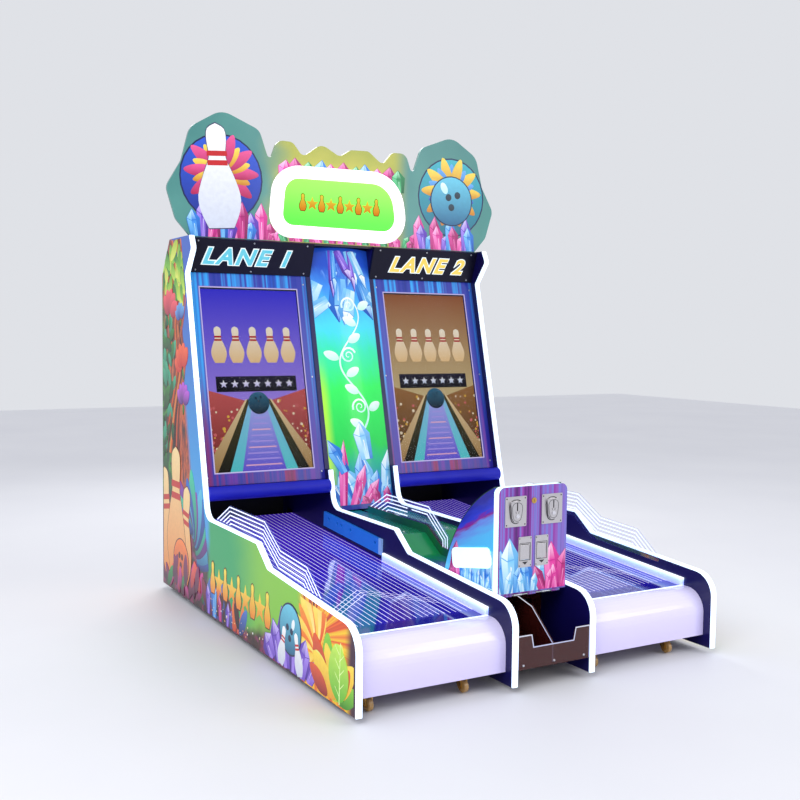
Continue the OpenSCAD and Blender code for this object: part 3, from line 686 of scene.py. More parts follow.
def stroke(path, start, end=None):
    """A line of some width along a path, tapering from start to end."""
    end = start if end is None else end
    count = len(path) - 1
    left, right_side = beside(path, 1.0), beside(path, -1.0)
    widths = [(start + (end - start)*i/count)/2 for i in range(count + 1)]
    one = [(p[0] + (q[0] - p[0])*w, p[1] + (q[1] - p[1])*w) for p, q, w in zip(path, left, widths)]
    two = [(p[0] + (q[0] - p[0])*w, p[1] + (q[1] - p[1])*w) for p, q, w in zip(path, right_side, widths)]
    return one + two[::-1]


def spiral(turns, sign=1, steps=14):
    """A unit spiral path from its rim to its eye."""
    count = int(turns*steps)
    return [(sign*(1 - 0.88*i/count)*math.cos(2*math.pi*i/steps),
             (1 - 0.88*i/count)*math.sin(2*math.pi*i/steps))
            for i in range(count + 1)]


def mirrored(half):
    """A closed outline from its right half, listed from the foot up."""
    return half + [(-x, y) for x, y in reversed(half) if x > 0]


DISC = [(math.cos(math.tau*i/28), math.sin(math.tau*i/28)) for i in range(28)]
STAR = [(r*math.sin(math.tau*i/10), r*math.cos(math.tau*i/10)) for i, r in enumerate([1.0, 0.42]*5)]
LEAF = soft([(0, 0), (-0.22, 0.3), (-0.2, 0.7), (0, 1), (0.2, 0.7), (0.22, 0.3)], 2)
PIN = mirrored(flow([(0.13, 0), (0.2, 0.16), (0.215, 0.32), (0.15, 0.52), (0.085, 0.68), (0.1, 0.84),
                     (0.085, 0.95),
                     (0.0, 1.0)], 3)[:-1] + [(0.0, 1.0)])
print("unit outlines:", len(DISC), len(STAR), len(LEAF), len(PIN), "points")

# %% [markdown]
# ## Motifs
# A crystal is five facets in four shades, a pin has two red bands, and a trophy row is pins and stars
# side by side in a line. Drawing them as functions keeps the prints on the machine of one family.

# %% Crystals, pins and rows
PINK, MAGENTA = ("a8126e", "e0309c", "ff8fd0", "ffd2ee"), ("7a0f52", "b01c74", "e24ba0", "f5a0cf")
ICE, SKY = ("2f7fd0", "7cc8f4", "d8f4ff", "ffffff"), ("154cb4", "2f86e0", "7cc4f6", "c8ecff")
JADE, VIOLET = ("0c5c38", "1d8f54", "63cf8e", "b8f4cc"), ("3a1c86", "6a3fc4", "a98af0", "e0d2ff")


def crystal(film, x, y, wide, tall, turn=0.0, shades=SKY):
    """A faceted crystal that stands on (x, y)."""
    dark, mid, light, bright = shades

    def facet(points, low, high):
        film.shape(moved([(px*wide, py*tall) for px, py in points], x, y, turn), low, high)

    facet([(-0.36, 0), (-0.5, 0.7), (0, 1), (0.5, 0.66), (0.36, 0)], dark, mid)
    facet([(-0.34, 0.01), (-0.47, 0.69), (-0.14, 0.6), (-0.1, 0.01)], mid, light)
    facet([(-0.1, 0.01), (-0.14, 0.6), (0.2, 0.62), (0.16, 0.01)], light, mid)
    facet([(-0.47, 0.71), (-0.02, 0.98), (-0.14, 0.62)], light, bright)
    facet([(-0.12, 0.63), (0, 0.97), (0.2, 0.64)], mid, bright)
    facet([(0.02, 0.1), (0.0, 0.52), (0.05, 0.5)], bright, bright)


def cluster(film, x, y, spread, tall, shades, seed, count=5):
    """Crystals that fan out from one foot."""
    draw = random.Random(seed)
    for i in range(count):
        share = i/(count - 1) - 0.5
        crystal(film, x + share*spread, y, spread*draw.uniform(0.24, 0.36),
                tall*(1 - abs(share))*draw.uniform(0.8, 1.0),
                -share*70 + draw.uniform(-6, 6), shades)


def bowling_pin(film, x, y, tall, turn=0.0, body=("cfd6e6", "ffffff"), band="c81c24"):
    film.shape(moved(PIN, x, y, turn, tall), *body)
    for low in (0.6, 0.69):
        bar = [(-0.105, low), (0.105, low), (0.1, low + 0.05), (-0.1, low + 0.05)]
        film.shape(moved(bar, x, y, turn, tall), band)


def trophy_row(film, x, y, wide, tall):
    """Gold pins and stars by turns, side by side on a straight line."""
    count = 9
    for i in range(count):
        figure, size = (PIN, tall) if i % 2 == 0 else (moved(STAR, 0, 0.5, 0, 0.5), tall*0.86)
        film.rimmed(moved(figure, x + wide*(i/(count - 1) - 0.5), y, 0, size), "f08418", "ffe94a", "5a2408",
                    tall*0.035)


# %% [markdown]
# ## Pictures on the screens
# Each screen shows a bowling lane in perspective: a plain sky, five pins in a row, a dark ribbon with
# stars, and the ball rolling away down a pale lane. It is lit film just behind the glass.

# %% Planes on the machine
LEAN = math.radians(13.9)
BOARD = 0.012
PICTURE_FOOT, PICTURE_W, PICTURE_H = 0.060, 0.541, 0.953
lean_foot = Vector((0, surround_low.y, surround_low.z + BOARD*math.sin(LEAN)))


def leaned(x, y, out):
    """A point on the leaning face of the screens: x across, y up the slope, out towards the players."""
    return lean_foot + Vector((x, y*math.sin(LEAN) - out*math.cos(LEAN),
                               y*math.cos(LEAN) + out*math.sin(LEAN)))


# %% Screen pictures
def screen_picture(i, middle, sky, far_sky, stand, ribbon_tint):
    half, tall = PICTURE_W/2 - 0.004, PICTURE_H - 0.008
    film = Film(walls=[(-half, 0, -1, 0), (half, 0, 1, 0), (0, 0.004, 0, -1), (0, tall, 0, 1)])
    film.shape([(-half, 0.004), (half, 0.004), (half, tall), (-half, tall)], far_sky, sky)
    for n in range(5):
        bowling_pin(film, 0.095*(n - 2), 0.56, 0.19, 0, ("f0c890", "fff4e0"), "b8202c")
    for side in (-1, 1):
        film.shape([(side*half, 0.004), (side*0.06, 0.36), (side*half, 0.42)][::side], stand[0], stand[1])
        draw = random.Random(side + 5*i)
        for _ in range(26):
            y = draw.uniform(0.1, 0.36)
            x = side*draw.uniform(0.1 + (0.36 - y)*0.45, half)
            film.shape(moved(DISC, x, y, 0, draw.uniform(0.004, 0.009)),
                       draw.choice(("e8b84a", "d86a6a", "f0e0c0")))
        film.shape([(side*half, 0.004), (side*half, 0.09), (side*0.07, 0.37), (side*0.06, 0.37),
                    (side*0.2, 0.004)][::side],
                   "a8824e", "e8cfa0")
        film.shape([(side*0.25, 0.004), (side*0.062, 0.37), (side*0.045, 0.37), (side*0.15, 0.004)][::side],
                   "15150c", "4a4424")
    film.shape([(-0.185, 0.004), (0.185, 0.004), (0.048, 0.37), (-0.048, 0.37)], "58d0d8", "8ec8f4")
    film.shape([(-0.12, 0.004), (0.12, 0.004), (0.034, 0.36), (-0.034, 0.36)], "6a5ae0", "a8b4f8")
    for row in range(9):
        y = 0.03 + 0.03*row
        wide = 0.1 - 0.008*row
        film.shape([(-wide, y), (wide, y), (wide - 0.004, y + 0.007), (-wide + 0.004, y + 0.007)],
                   "b4a0f4" if row % 3 else "f0b8d8")
    film.shape([(-0.22, 0.41), (0.22, 0.41), (0.22, 0.49), (-0.22, 0.49)], "0a0a14", "1c1830")
    for n in range(7):
        film.shape(moved(STAR, 0.06*(n - 3), 0.45, 0, 0.022), ribbon_tint, "ffffff")
    film.shape(moved(DISC, 0, 0.35, 0, 0.058), "08101c", "2c6a8c")
    for x, y in ((-0.014, 0.375), (0.012, 0.38), (0.0, 0.36)):
        film.shape(moved(DISC, x, y, 0, 0.006), "030508")
    film.finish(f"screen_picture_{i}", lambda x, y, out: leaned(x + middle, y + PICTURE_FOOT, out - 0.0115),
                lit_look)
    frame_film = Film()
    for grow, tint in ((0.0, "d8ccf8"), (0.003, "8f86d8")):
        w, low, high = PICTURE_W/2 + grow, -grow, PICTURE_H + grow
        corners = [(-w, low), (w, low), (w, high), (-w, high)]
        for a, b in zip(corners, corners[1:] + corners[:1]):
            frame_film.shape(stroke([a, b], 0.006 - grow), tint)
    frame_film.finish(f"screen_frame_{i}", lambda x, y, out: leaned(x + middle, y + PICTURE_FOOT, out),
                      lit_look)


screen_picture(1, lane_middles[0], "3a35e0", "c0a0f0", ("6a2018", "c85a5a"), "c8c0ff")
screen_picture(2, lane_middles[1], "9a5c3c", "e0d8a0", ("2c1810", "9a6a3a"), "c8d8ff")

# %% [markdown]
# ## Lit lettering
# The only words are the lane numbers. Text is made a mesh first and then stood on the leaning header,
# once wide in white and once narrow in its colour, which gives the letters their bright outline.

# %% Header letters
HEADER_LEAN = math.radians(19.6)
header_low, header_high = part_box("header_boards")
LETTER_SIZE, LETTER_SLANT = 0.116, 0.28


def on_header(x, y, out):
    foot = header_high.y - BOARD*1.33*math.cos(HEADER_LEAN)
    return Vector((x, foot - y*math.sin(HEADER_LEAN) - out*math.cos(HEADER_LEAN),
                   header_low.z + y*math.cos(HEADER_LEAN) - out*math.sin(HEADER_LEAN)))


def letters(name, words, middle, low, grow, out, look):
    """Words of even weight, thick enough to be a closed solid, standing on the header."""
    text = bpy.data.curves.new(name, "FONT")
    text.body, text.size, text.shear, text.align_x = words, LETTER_SIZE, LETTER_SLANT, "CENTER"
    text.extrude, text.offset, text.space_character = 0.0012, grow, 1.22
    holder = bpy.data.objects.new(name, text)
    scene.collection.objects.link(holder)
    bpy.context.view_layer.update()
    solid = bpy.data.meshes.new_from_object(holder.evaluated_get(bpy.context.evaluated_depsgraph_get()))
    bpy.data.objects.remove(holder)
    mesh = bmesh.new()
    mesh.from_mesh(solid)
    bpy.data.meshes.remove(solid)
    for vert in mesh.verts:
        vert.co = on_header(vert.co.x*1.1 + middle, vert.co.y + low, vert.co.z + out)
    return add_piece(name, mesh, look)


def letter_look(name, colour, strength):
    look = Look(name, "ffffff", 0.3)
    look.set("Base Color", paint("101018"))
    look.glow(look.mix(look.noise(40.0)*0.2, colour, "ffffff"), strength)
    return look


white_letters = letter_look("white letters", "eaf8ff", 1.15)
for i, middle, tint in ((1, lane_middles[0] - 0.02, "22b8d4"), (2, lane_middles[1], "ecc414")):
    letters(f"lane_number_{i}", f"LANE {i}", middle, 0.05, 0.0085, 0.0014, white_letters)
    letters(f"lane_number_{i}_core", f"LANE {i}", middle, 0.05, 0.0036, 0.0038,
            letter_look(f"letter core {i}", tint, 1.2))

# %% [markdown]
# ## The column's vines and crystals
# The column is round, so its film is drawn flat, divided by folds every few centimetres, and then
# wrapped on the cylinder that the board was bent to.

# %% Column film
COLUMN_R, COLUMN_PROUD = 0.470, 0.043
column_half = (column_high.x - column_low.x)/2
folds = [(-column_half + 0.03*i, 0, 1, 0) for i in range(1, 12)]


def on_column(x, z, out):
    """Wraps a film drawn with its heights above the panels' lower edge on to the column."""
    slope = (z + panel_low.z - lean_foot.z)/math.cos(LEAN)
    return leaned(x, slope, COLUMN_PROUD - COLUMN_R + math.sqrt((COLUMN_R + out)**2 - x*x))


film = Film(walls=[(-column_half + 0.003, 0, -1, 0), (column_half - 0.003, 0, 1, 0), (0, 0.455, 0, -1),
                   (0, 1.79, 0, 1)], folds=folds)
draw = random.Random(3)
for x, y, size, turn in ((-0.15, 1.62, 0.2, 150), (-0.03, 1.64, 0.24, 175), (0.1, 1.63, 0.22, 200),
                         (-0.1, 1.52, 0.17, 120),
                         (0.15, 1.56, 0.16, 230), (0.03, 1.58, 0.2, 165)):
    crystal(film, x, y, size*0.5, size, turn, ICE if size < 0.21 else SKY)
for n in range(9):
    crystal(film, draw.uniform(-0.13, 0.13), 1.79, draw.uniform(0.03, 0.06), draw.uniform(0.12, 0.26),
            180 + draw.uniform(-28, 28), (SKY, ICE, VIOLET)[n % 3])
VINE_FOOT, VINE_STEP, VINE_SWING = 0.80, 0.045, 0.07
stem = [(VINE_SWING*math.sin(0.55*k), VINE_FOOT + VINE_STEP*k) for k in range(17)]
film.shape(stroke(flow(stem, 3), 0.012, 0.006), "bff6e8", "ffffff")
for k, (x, y) in enumerate(stem[1:-1:2]):
    side = 1 if k % 2 else -1
    film.shape(moved(LEAF, x, y, -side*62, 0.10, 1.1), "c8f8e4", "f6fffa")
    if k % 3 == 1:
        film.shape(stroke(moved(spiral(1.8, -side), x - side*0.05, y + 0.02, 20, 0.045), 0.011, 0.004),
                   "bff6e8", "ffffff")
cluster(film, 0.09, 0.43, 0.30, 0.36, ICE, 5, 6)
cluster(film, -0.02, 0.44, 0.24, 0.30, SKY, 6, 5)
cluster(film, -0.13, 0.43, 0.2, 0.40, PINK, 7, 5)
cluster(film, 0.1, 0.43, 0.16, 0.16, MAGENTA, 8, 4)
crystal(film, 0.03, 0.68, 0.1, 0.2, 8, ICE)
crystal(film, -0.1, 0.62, 0.07, 0.19, 24, SKY)
film.finish("column_film", on_column)

# %% [markdown]
# ## The topper
# A tall board above the screens carries a sign in a lit frame. Crystals stand behind the sign, and each
# round end has its own bowling picture: a large pin on the left and a ball on the right, over a burst.

# %% Topper board ground
board_low, board_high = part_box("topper_board")
topper = Look("topper print", "4a8a86", 0.3, **gloss)
share = topper.rise(topper.x + (topper.noise(4.0) - 0.5)*0.2, -0.5, -0.3)*topper.rise(topper.x, 0.42, 0.3)
topper_art = topper.mix(share, topper.mix(topper.noise(3.0), "2f6f70", "5c9c92"),
                        topper.mix(topper.noise(5.0), "8a9a34", "c2bc50"))
front_only = topper.rise(topper.y, board_high.y - 0.001, board_high.y - 0.002)
topper.set("Base Color", topper.mix(front_only, "23262c", topper_art))
# Painted glow: the front of the topper print gives off a faint light in its own colours.
topper.glow(topper.mix(front_only, "000000", topper_art), 0.12)
topper.bump(topper.noise(300.0), 0.05)
wear(topper, "topper_board")
face_low, face_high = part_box("topper_face")
face = Look("sign face", "5ce030", 0.3)
face_art = face.mix(face.rise(face.z, face_low.z, face_high.z), "3cc21c", "7cf03c")
face.set("Base Color", face_art)
face.glow(face_art, 0.75)
wear(face, "topper_face")


def on_board(x, y, out):
    return Vector((x, board_low.y - out, board_low.z + y))


# %% Topper film
def burst(film, x, y, reach, shades):
    """Rays all round one point, long and short by turns."""
    for n in range(20):
        film.shape(moved(LEAF, x, y, 18*n, reach*(1.0 if n % 2 else 0.8), 0.7), *shades[n % len(shades)])


film = Film(walls=[(0, 0.003, 0, -1)])
END_X, END_Y, END_REACH = 0.69, 0.33, 0.215
ROW_HALF = 0.345
for n in range(11):
    x = ROW_HALF*(n/5 - 1)
    crystal(film, x, 0.30, 0.085, 0.125 + 0.015*(n % 2), 4*((n*5) % 3 - 1),
            (PINK, MAGENTA, JADE, SKY)[n % 4])
for side, disc, rays in ((-1, ("10268c", "2a5ad8"), (("c87818", "ffe25a"), ("b01450", "f05a9c"))),
                         (1, ("0f6a84", "3ab4c4"), (("1f4ab0", "6ab4f4"), ("c87818", "ffe25a")))):
    film.rimmed(moved(DISC, side*END_X, END_Y - 0.03, 0, 0.214), *disc, "0c1c50", 0.008)
    burst(film, side*END_X, END_Y, END_REACH, rays)
    for n in range(12):
        crystal(film, side*(0.44 + 0.035*n), -0.01, 0.07, 0.10 + 0.05*((n*5) % 3), 9*((n*7) % 3 - 1),
                (MAGENTA, PINK, VIOLET, SKY)[n % 4])
for n in range(22):
    crystal(film, -0.42 + 0.04*n, -0.01, 0.05, 0.055 + 0.012*(n % 3), 10*((n*7) % 5 - 2),
            (MAGENTA, PINK, JADE)[n % 3])
film.rimmed(moved(PIN, -END_X, 0.05, 4, 0.52, 0.95), "dcd6e4", "ffffff", "3a3460", 0.005)
bowling_pin(film, -END_X, 0.05, 0.52, 4)
film.rimmed(moved(DISC, END_X, END_Y - 0.05, 0, 0.135), "14608c", "6acbe6", "0c1c4a", 0.006)
film.shape(moved(DISC, END_X - 0.05, END_Y + 0.02, 30, 0.034, 0.6), "bff0f0", "e8ffff")
for x, y in ((-0.02, -0.03), (0.04, -0.015), (0.0, -0.085)):
    film.shape(moved(DISC, END_X + x, END_Y + y, 0, 0.02), "0a2030", "123c50")
film.finish("topper_film", on_board)

sign = Film()
trophy_row(sign, -0.03, 0.165, 0.44, 0.088)
sign.finish("sign_film", lambda x, y, out: Vector((x, face_low.y - out, board_low.z + y)), lit_look)

# %% [markdown]
# ## The side film
# Leaves, a trunk, flowers, bowling pins, crystals and a trophy row are cut out and laid on the soft
# ground. Both outer boards get the same drawing, one the mirror of the other.

# %% Side film
def slant(back, high, reach=0.012):
    """A wall along the leaning front edge."""
    return (back + reach, high, -1.0, edge_slope)


upper_walls = [slant(edge_foot.x + 0.01, edge_foot.y), (0, 1.822, 0, 1), (2.106, 1.826, 0.82, 0.57),
               (2.226, 0, 1, 0.005),
               (0, 0.006, 0, -1)]
lower_walls = [(0.02, 0, -1, 0), (0, 0.006, 0, -1), (0.1, 0.304, -0.075, 1), (2.2, 0, 1, 0)]


def flower(film, x, y, size, low, high, turn=0.0):
    for n in range(5):
        film.rimmed(moved(LEAF, x, y, turn - 56 + 28*n, size, 1.3), low, high, "4a0614", size*0.03)
    film.shape(moved(LEAF, x, y, turn + 180, size*0.5, 0.8), "0f5a20", "2c9a34")


def side_film(i, plane_x, out_sign):
    draw = random.Random(21)
    film = Film(walls=upper_walls)
    for n in range(15):
        lean_off = draw.uniform(-0.09, 0.09)
        path = flow([(1.99 + lean_off*1.2, 1.84), (1.93 + lean_off, 1.6), (1.97 + lean_off*0.8, 1.38),
                     (1.93 + lean_off, 1.18), (2.03 + lean_off, 0.95), (2.1 + lean_off*2, 0.72)], 4)
        low, high = draw.choice((("5a1a08", "a83a12"), ("c8481a", "e8742a"), ("e88a34", "b84a18"),
                                 ("2a0a06", "6a200c")))
        film.shape(stroke(path, draw.uniform(0.012, 0.035), draw.uniform(0.01, 0.03)), low, high)
    for n in range(7):
        start = draw.uniform(0.9, 1.7)
        path = flow([(1.97, start), (1.9 + draw.uniform(-0.03, 0.02), start + 0.1), (1.84, start + 0.24)],
                    4)
        film.shape(stroke(path, 0.03, 0.004), "8a2a10", "e8702a")
    for n in range(46):
        x, y = draw.uniform(1.86, 2.2), draw.uniform(1.58, 1.84)
        low, high = draw.choice((("2f8a1c", "8ad23a"), ("58a81e", "c8ec4a"), ("145a18", "3f9a2a"),
                                 ("a8c81c", "e8f06a")))
        film.shape(moved(LEAF, x, y, 180 + draw.uniform(-50, 50), draw.uniform(0.09, 0.17), 0.9), high, low)
    for n in range(40):
        x, y = draw.uniform(2.06, 2.22), draw.uniform(0.55, 1.55)
        low, high = draw.choice((("0c3a14", "2a8a2c"), ("0a2810", "1c6a24"), ("1c7a5c", "3ab488")))
        film.shape(moved(LEAF, x, y, draw.uniform(-60, 60), draw.uniform(0.08, 0.15)), low, high)
    flower(film, 2.1, 1.44, 0.15, "a0103c", "ff5a6a", 10)
    flower(film, 1.9, 1.17, 0.14, "c81414", "ff6a3a", -20)
    flower(film, 1.89, 0.99, 0.12, "4a1470", "c85ae0", 0)
    flower(film, 1.93, 1.42, 0.09, "1c3a9a", "6ab0f0", -10)
    for n in range(13):
        tints = (("0c1c5c", "2a6ad0"), ("1a6a9a", "5ac8e8"), ("3a1060", "8a3ab0"),
                 ("0f7a6a", "3ad0a8"))[n % 4]
        film.rimmed(moved(LEAF, 1.72, 0.2 + 0.012*n, 76 - 12*n, 0.32 + 0.05*((n*5) % 3), 0.6), *tints,
                    "06123a", 0.002)
    for x, size, tilt in ((2.12, 0.56, -9), (1.9, 0.5, 8), (2.01, 0.68, 0)):
        film.rimmed(moved(PIN, x, 0.08, tilt, size), "e07a28", "ffd890", "6a1c08", 0.005)
        bowling_pin(film, x, 0.08, size, tilt, ("e88a34", "ffe0a0"), "c8281c")
    film.rimmed(moved(DISC, 1.93, 0.17, 0, 0.12), "a8280c", "ff8a3a", "4a0c04", 0.006)
    for x, y in ((1.915, 0.2), (1.955, 0.205), (1.935, 0.155)):
        film.shape(moved(DISC, x, y, 0, 0.017), "2a0804", "5a1808")
    for n in range(30):
        tints = draw.choice((("6a0f4a", "d83a9a"), ("3a0c30", "8a1c5c"), ("0c4a2c", "2a9a4a"),
                             ("a01c2c", "f05a4a")))
        film.shape(moved(LEAF, draw.uniform(1.5, 2.22), draw.uniform(-0.02, 0.07), draw.uniform(-40, 40),
                         draw.uniform(0.1, 0.2), 0.8), *tints)
    film.walls = lower_walls
    for n in range(34):
        tints = draw.choice((("3a0c18", "8a1c4a"), ("1c0a10", "4a1420"), ("c83a1c", "ff8a3a"),
                             ("1a2a6a", "4a7ad0")))
        film.shape(moved(LEAF, draw.uniform(1.08, 1.6), draw.uniform(-0.03, 0.03), draw.uniform(-35, 35),
                         draw.uniform(0.08, 0.2), 0.8), *tints)
    for x, size, shades in ((1.52, 0.15, VIOLET), (1.44, 0.19, SKY), (1.36, 0.13, MAGENTA),
                            (1.27, 0.12, VIOLET)):
        crystal(film, x, 0.0, size*0.4, size, draw.uniform(-14, 14), shades)
    for n in range(60):
        film.shape(moved(DISC, draw.uniform(0.05, 1.5), draw.uniform(0.015, 0.09), 0,
                         draw.uniform(0.002, 0.005)),
                   draw.choice(("ffe9a0", "f8b04a", "ffffff")))
    trophy_row(film, 1.13, 0.12, 0.66, 0.15)
    for n in range(15):
        angle = -80 + 17*n
        tints = (("ffb01c", "fff06a"), ("e8340c", "ff9a2a"), ("fff0a0", "ffd23a"))[n % 3]
        film.shape(moved(LEAF, 0.33, 0.14, -angle*0.6 - 20, 0.2 + 0.04*((n*7) % 4), 0.5), *tints)
    cluster(film, 0.57, 0.005, 0.34, 0.3, VIOLET, 31, 6)
    film.rimmed(moved(DISC, 0.565, 0.175, 0, 0.1), "14608c", "6acbe6", "0c1c4a", 0.007)
    film.shape(moved(DISC, 0.535, 0.2, 20, 0.024, 0.6), "dff6ff", "ffffff")
    for x, y in ((0.55, 0.17), (0.59, 0.18), (0.568, 0.138)):
        film.shape(moved(DISC, x, y, 0, 0.014), "0a1a34", "10305c")
    bowling_pin(film, 0.66, 0.01, 0.17, 14)
    bowling_pin(film, 0.47, 0.01, 0.17, -14)
    for n in range(16):
        tints = (("2f8a1c", "8ad23a"), ("a8d82c", "f0f07a"), ("e8a01c", "ffe04a"),
                 ("8a1c1c", "e85a2a"))[n % 4]
        film.shape(moved(LEAF, 0.19 + 0.012*((n*5) % 7 - 3), 0.01, 64 - 8.5*n, 0.2 + 0.03*(n % 3), 0.9),
                   *tints)
    film.rimmed(moved(LEAF, 0.13, 0.0, -4, 0.25, 1.5), "5ab82c", "c8f05a", "1c5a14", 0.003)
    for n in range(7):
        y = 0.04 + 0.026*n
        film.shape(stroke([(0.13, y), (0.13 + 0.036*(-1)**n, y + 0.03)], 0.004, 0.002), "eaffb0")
    film.shape(stroke([(0.13, 0.01), (0.122, 0.24)], 0.006, 0.002), "eaffb0")
    film.finish(f"side_film_{i}", lambda back, high, out: Vector((plane_x + out_sign*(out - 0.0002),
                panel_low.y - 0.007 + back, panel_low.z + high)))


side_film(1, panel_low.x, -1)
side_film(4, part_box("side_panel_4")[1].x, 1)

# %% [markdown]
# ## Guard lines
# Each clear guard has five engraved lines that carry light from a lamp strip below it. They run side by
# side under its top edge and end on the rail.

# %% Guard lines
GUARD_Y = panel_low.y - 0.007
LINE_GAP, LINE_W = 0.0185, 0.005


def guard_lines(name, x, front, back, above_front, above_back, look):
    """front and back are the two halves of a guard's top edge; the walls end the lines on the rail."""
    film = Film()
    for half, walls in ((back, above_back), (front, above_front)):
        film.walls = walls
        for n in range(5):
            path = beside(half, 0.006 + n*LINE_GAP)
            film.shape(stroke(path, LINE_W), "ccd8ff" if n else "f4f8ff")
    return film.finish(name, lambda y, z, out: Vector((x - out, GUARD_Y + y, panel_low.z + z)), look)


line_look = Look("engraved light lines", "dfe6ff", 0.3)
line_look.glow(line_look.mix(line_look.noise(30.0)*0.4, "cfdcff", "ffffff"), 0.95)
wing_back = [(1.478, 0.468), (1.466, 0.476), (1.307, 0.558), (1.1, 0.558)]
wing_front = [(1.1, 0.558), (0.89, 0.558), (0.72, 0.465), (0.465, 0.45), (0.323, 0.346)]
rail_walls = [(0, 0.329, 0.065, -1)]
guard_lines("guard_lines_1", -0.86, wing_front, wing_back, rail_walls, [(0, 0.469, 0, -1)], line_look)
guard_lines("guard_lines_2", 0.852, wing_front, wing_back, rail_walls, [(0, 0.469, 0, -1)], line_look)
guard_lines("guard_lines_3", -0.03, [(1.1, 0.558), (0.905, 0.557), (0.738, 0.44), (0.735, 0.36)], wing_back,
            [(0, -0.11, 0.59, -1)], [(0, 0.44, 0, -1)], line_look)

# %% [markdown]
# ## Trims
# A white profile closes each lane at the players' end. The cut edges of the brown tray are polished, and the
# light they catch from the strips beside them is painted on as glowing lines, a painted highlight.

# %% Lane ends and tray edges
def bar(mesh, low, high):
    """A plain box between two corners."""
    middle, sides = (Vector(low) + Vector(high))/2, Vector(high) - Vector(low)
    bmesh.ops.create_cube(mesh, size=1, matrix=Matrix.Translation(middle) @ Matrix.Diagonal((*sides, 1)))


for i in (1, 2):
    low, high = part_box(f"lane_surface_{i}")
    mesh = bmesh.new()
    bar(mesh, (low.x + 0.002, low.y - 0.001, low.z + 0.0085),
        (high.x - 0.002, low.y + 0.011, low.z + 0.0125))
    add_piece(f"lane_end_trim_{i}", mesh, strip_look(f"lane end trim {i}", "c8dcff", 0.9))

tray_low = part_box("ball_tray")[0]
# Painted highlight: glowing lines along the tray's cut edges stand for the light they catch from the strips.
edge_highlight = Film()
edge_highlight.shape(stroke([(-0.1775, 0.064), (-0.1775, 0.195), (-0.113, 0.195), (-0.103, 0.145), (0.097, 0.145),
                       (0.107, 0.195), (0.1775, 0.195), (0.1775, 0.064)], 0.0045), "aab8ff", "e6ecff")
edge_highlight.finish("tray_front_edge_highlight", lambda x, z, out: Vector((x, tray_low.y - out, panel_low.z + z)),
                lit_look)
edge_highlight = Film()
edge_highlight.shape(stroke([(0.0125, 0.07), (0.0125, 0.144), (0.151, 0.259), (0.32, 0.296)], 0.0045), "aab8ff",
               "f0f4ff")
edge_highlight.finish("tray_divider_edge_highlight", lambda y, z,
                out: Vector((-0.003 - out, panel_low.y - 0.007 + y, panel_low.z + z)),
                lit_look)

# %% [markdown]
# ## The coin box
# Crystals stand along the foot of the coin door and of the left cheek. The plates get the inlays that tell
# the players where coins go in and come back, drawn as plain shields and bars.

# %% Coin door film
door_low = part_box("coin_door")[0]
film = Film(walls=[(-0.166, 0, -1, 0), (0.166, 0, 1, 0), (0, 0.006, 0, -1)])
for x, tall, turn, shades in ((-0.14, 0.2, -6, SKY), (-0.06, 0.2, 4, ICE), (-0.16, 0.15, -20, ICE),
                              (-0.105, 0.24, -3, ICE),
                              (-0.02, 0.15, -7, SKY), (0.03, 0.16, 8, ICE), (0.06, 0.13, -24, MAGENTA),
                              (0.1, 0.21, -2, PINK),
                              (0.14, 0.18, 9, MAGENTA), (0.165, 0.13, 22, PINK), (-0.13, 0.11, 12, ICE),
                              (-0.08, 0.13, 6, SKY),
                              (-0.045, 0.1, -10, ICE), (0.0, 0.09, 8, ICE), (0.12, 0.12, -8, PINK),
                              (0.075, 0.1, 10, PINK)):
    crystal(film, x, -0.01, tall*0.4, tall, -turn, shades)
film.finish("coin_door_film", lambda x, z, out: Vector((x, door_low.y - out, door_low.z + 0.011 + z)),
            body="coin_door")

# %% Cheek crystals
cheek_film = Film(walls=[(0.2, 0, -1, 0), (0, 0.338, 0, -1), (0.53, 0.36, 1, 0.16)])
for y, tall, turn, shades in ((0.5, 0.12, 20, PINK), (0.475, 0.16, 6, MAGENTA), (0.445, 0.11, -12, PINK),
                              (0.515, 0.08, 34, MAGENTA),
                              (0.42, 0.075, 8, SKY), (0.39, 0.068, -6, ICE), (0.36, 0.07, 5, ICE),
                              (0.33, 0.066, -8, SKY),
                              (0.3, 0.07, 4, ICE), (0.275, 0.1, 10, SKY), (0.25, 0.13, -4, ICE),
                              (0.225, 0.16, 3, ICE),
                              (0.21, 0.1, -18, SKY), (0.24, 0.06, 18, ICE), (0.265, 0.05, -14, ICE)):
    crystal(cheek_film, y, 0.33, tall*0.42, tall, turn, shades)
cheek_film.finish("cheek_film", lambda y, z, out: Vector((cheek_low.x - out, GUARD_Y + y, panel_low.z + z)))

# %% Plate inlays
plates_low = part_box("coin_plates")[0]
PLATE_FACE, SHIELD_FACE = plates_low.y + 0.010, plates_low.y
PLATE_X, PLATE_Z, RETURN_X, RETURN_Z = 0.091, 0.678, 0.042, 0.511
SHIELD = soft([(-0.031, 0.042), (0.031, 0.042), (0.024, -0.026), (0.012, -0.042), (-0.012, -0.042),
               (-0.024, -0.026)], 2)
inlay = Look("dark inlay", "1a1a20", 0.35)
inlay.set("Base Color", inlay.mix(inlay.noise(200.0), "101014", "2a2a32"))


def inlays(name, face, draw_one):
    film = Film()
    for side in (-1, 1):
        draw_one(film, side)
    film.finish(name, lambda x, z, out: Vector((x, face - out, z)), inlay, "coin_door")


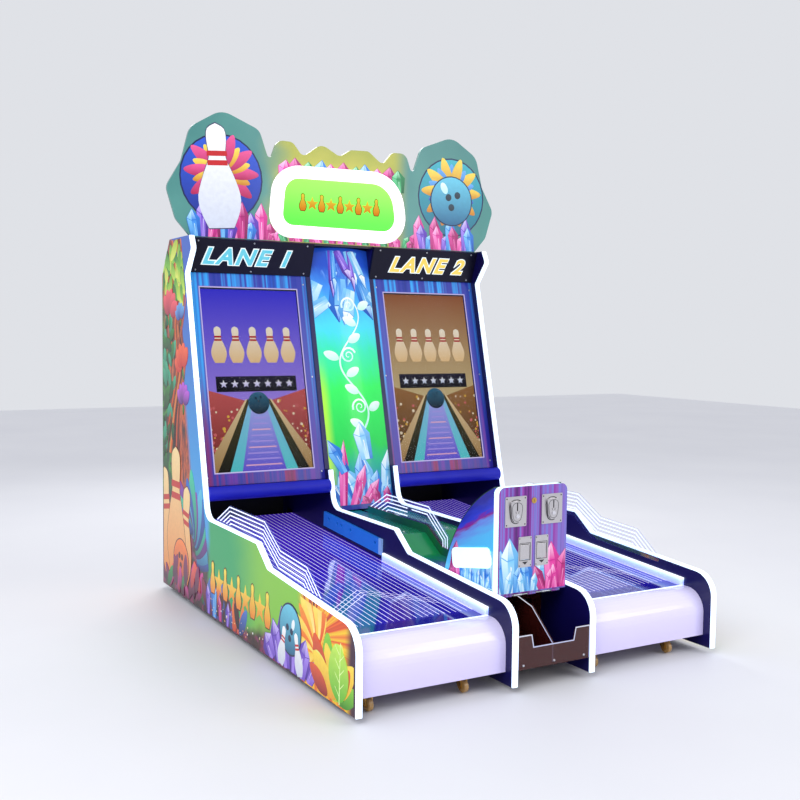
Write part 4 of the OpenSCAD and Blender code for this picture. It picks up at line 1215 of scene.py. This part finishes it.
def on_plate(film, side):
    ring = moved(SHIELD, side*PLATE_X, PLATE_Z, 0, 1.12)
    film.shape(stroke([*ring, ring[0]], 0.0035), "000000")
    for x in (-0.045, 0.045):
        for z in (-0.053, 0.053):
            film.shape(moved(DISC, side*PLATE_X + x, PLATE_Z + z, 0, 0.003), "000000")
            film.shape(moved(DISC, side*RETURN_X + x*0.62, RETURN_Z + z*1.04, 0, 0.0025), "000000")
    corners = [(side*RETURN_X + x, RETURN_Z + z) for x,
               z in ((-0.0265, -0.034), (0.0265, -0.034), (0.0265, 0.036), (-0.0265, 0.036))]
    film.shape(stroke([*corners, corners[0]], 0.002), "000000")
    film.shape(moved([(-0.014, 0), (0.014, 0), (0, -0.012)], side*RETURN_X, RETURN_Z - 0.04), "000000")


def on_shield(film, side):
    rim = moved(SHIELD, side*PLATE_X, PLATE_Z, 0, 0.88)
    film.shape(stroke([*rim, rim[0]], 0.0018), "000000")
    for x in (-0.008, 0.008):
        film.shape(stroke([(side*PLATE_X + x, PLATE_Z + 0.003), (side*PLATE_X + x*0.7, PLATE_Z - 0.006)],
                          0.0016), "000000")


inlays("coin_plate_inlays", PLATE_FACE, on_plate)
inlays("coin_shield_inlays", SHIELD_FACE, on_shield)

# %% Sensor eyes
EYE_UP, EYE_ALONG = 0.070, (0.926, 1.178, 1.278, 1.324, 1.420)
for i, bottom in ((1, sensor_low.x + 0.008), (2, sensor_high.x - 0.004)):
    eyes = Film()
    for along in EYE_ALONG:
        eyes.shape(moved(DISC, along, EYE_UP, 0, 0.0085), "02030a", "10162e")
        # The small pale dot up and to one side of each eye is a painted highlight.
        eyes.shape(moved(DISC, along + 0.002, EYE_UP + 0.002, 0, 0.002), "8ab4ff")
    eyes.finish(f"sensor_eyes_{i}", lambda along, up, out: Vector((
        bottom - out, lane_low.y + along*math.cos(LANE_RISE) - up*math.sin(LANE_RISE),
        lane_low.z + LANE_SHEET + along*math.sin(LANE_RISE) + up*math.cos(LANE_RISE))))

# %% Floor
mesh = bmesh.new()
bmesh.ops.create_grid(mesh, x_segments=4, y_segments=4, size=14)
floor_data = bpy.data.meshes.new("floor")
mesh.to_mesh(floor_data)
mesh.free()
floor = bpy.data.objects.new("floor", floor_data)
floor.location.z = -0.0005
scene.collection.objects.link(floor)
pale = Look("pale floor", "e9e9ee", 0.6)
pale.set("Base Color", pale.mix(pale.noise(0.8, 3.0), "e4e4ea", "eeeef2"))
floor_data.materials.append(pale.material)
floor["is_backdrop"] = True

# %% Sizes and finish
size = {"cad": [list(corner) for corner in cad_box], "visual": [list(corner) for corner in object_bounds()]}
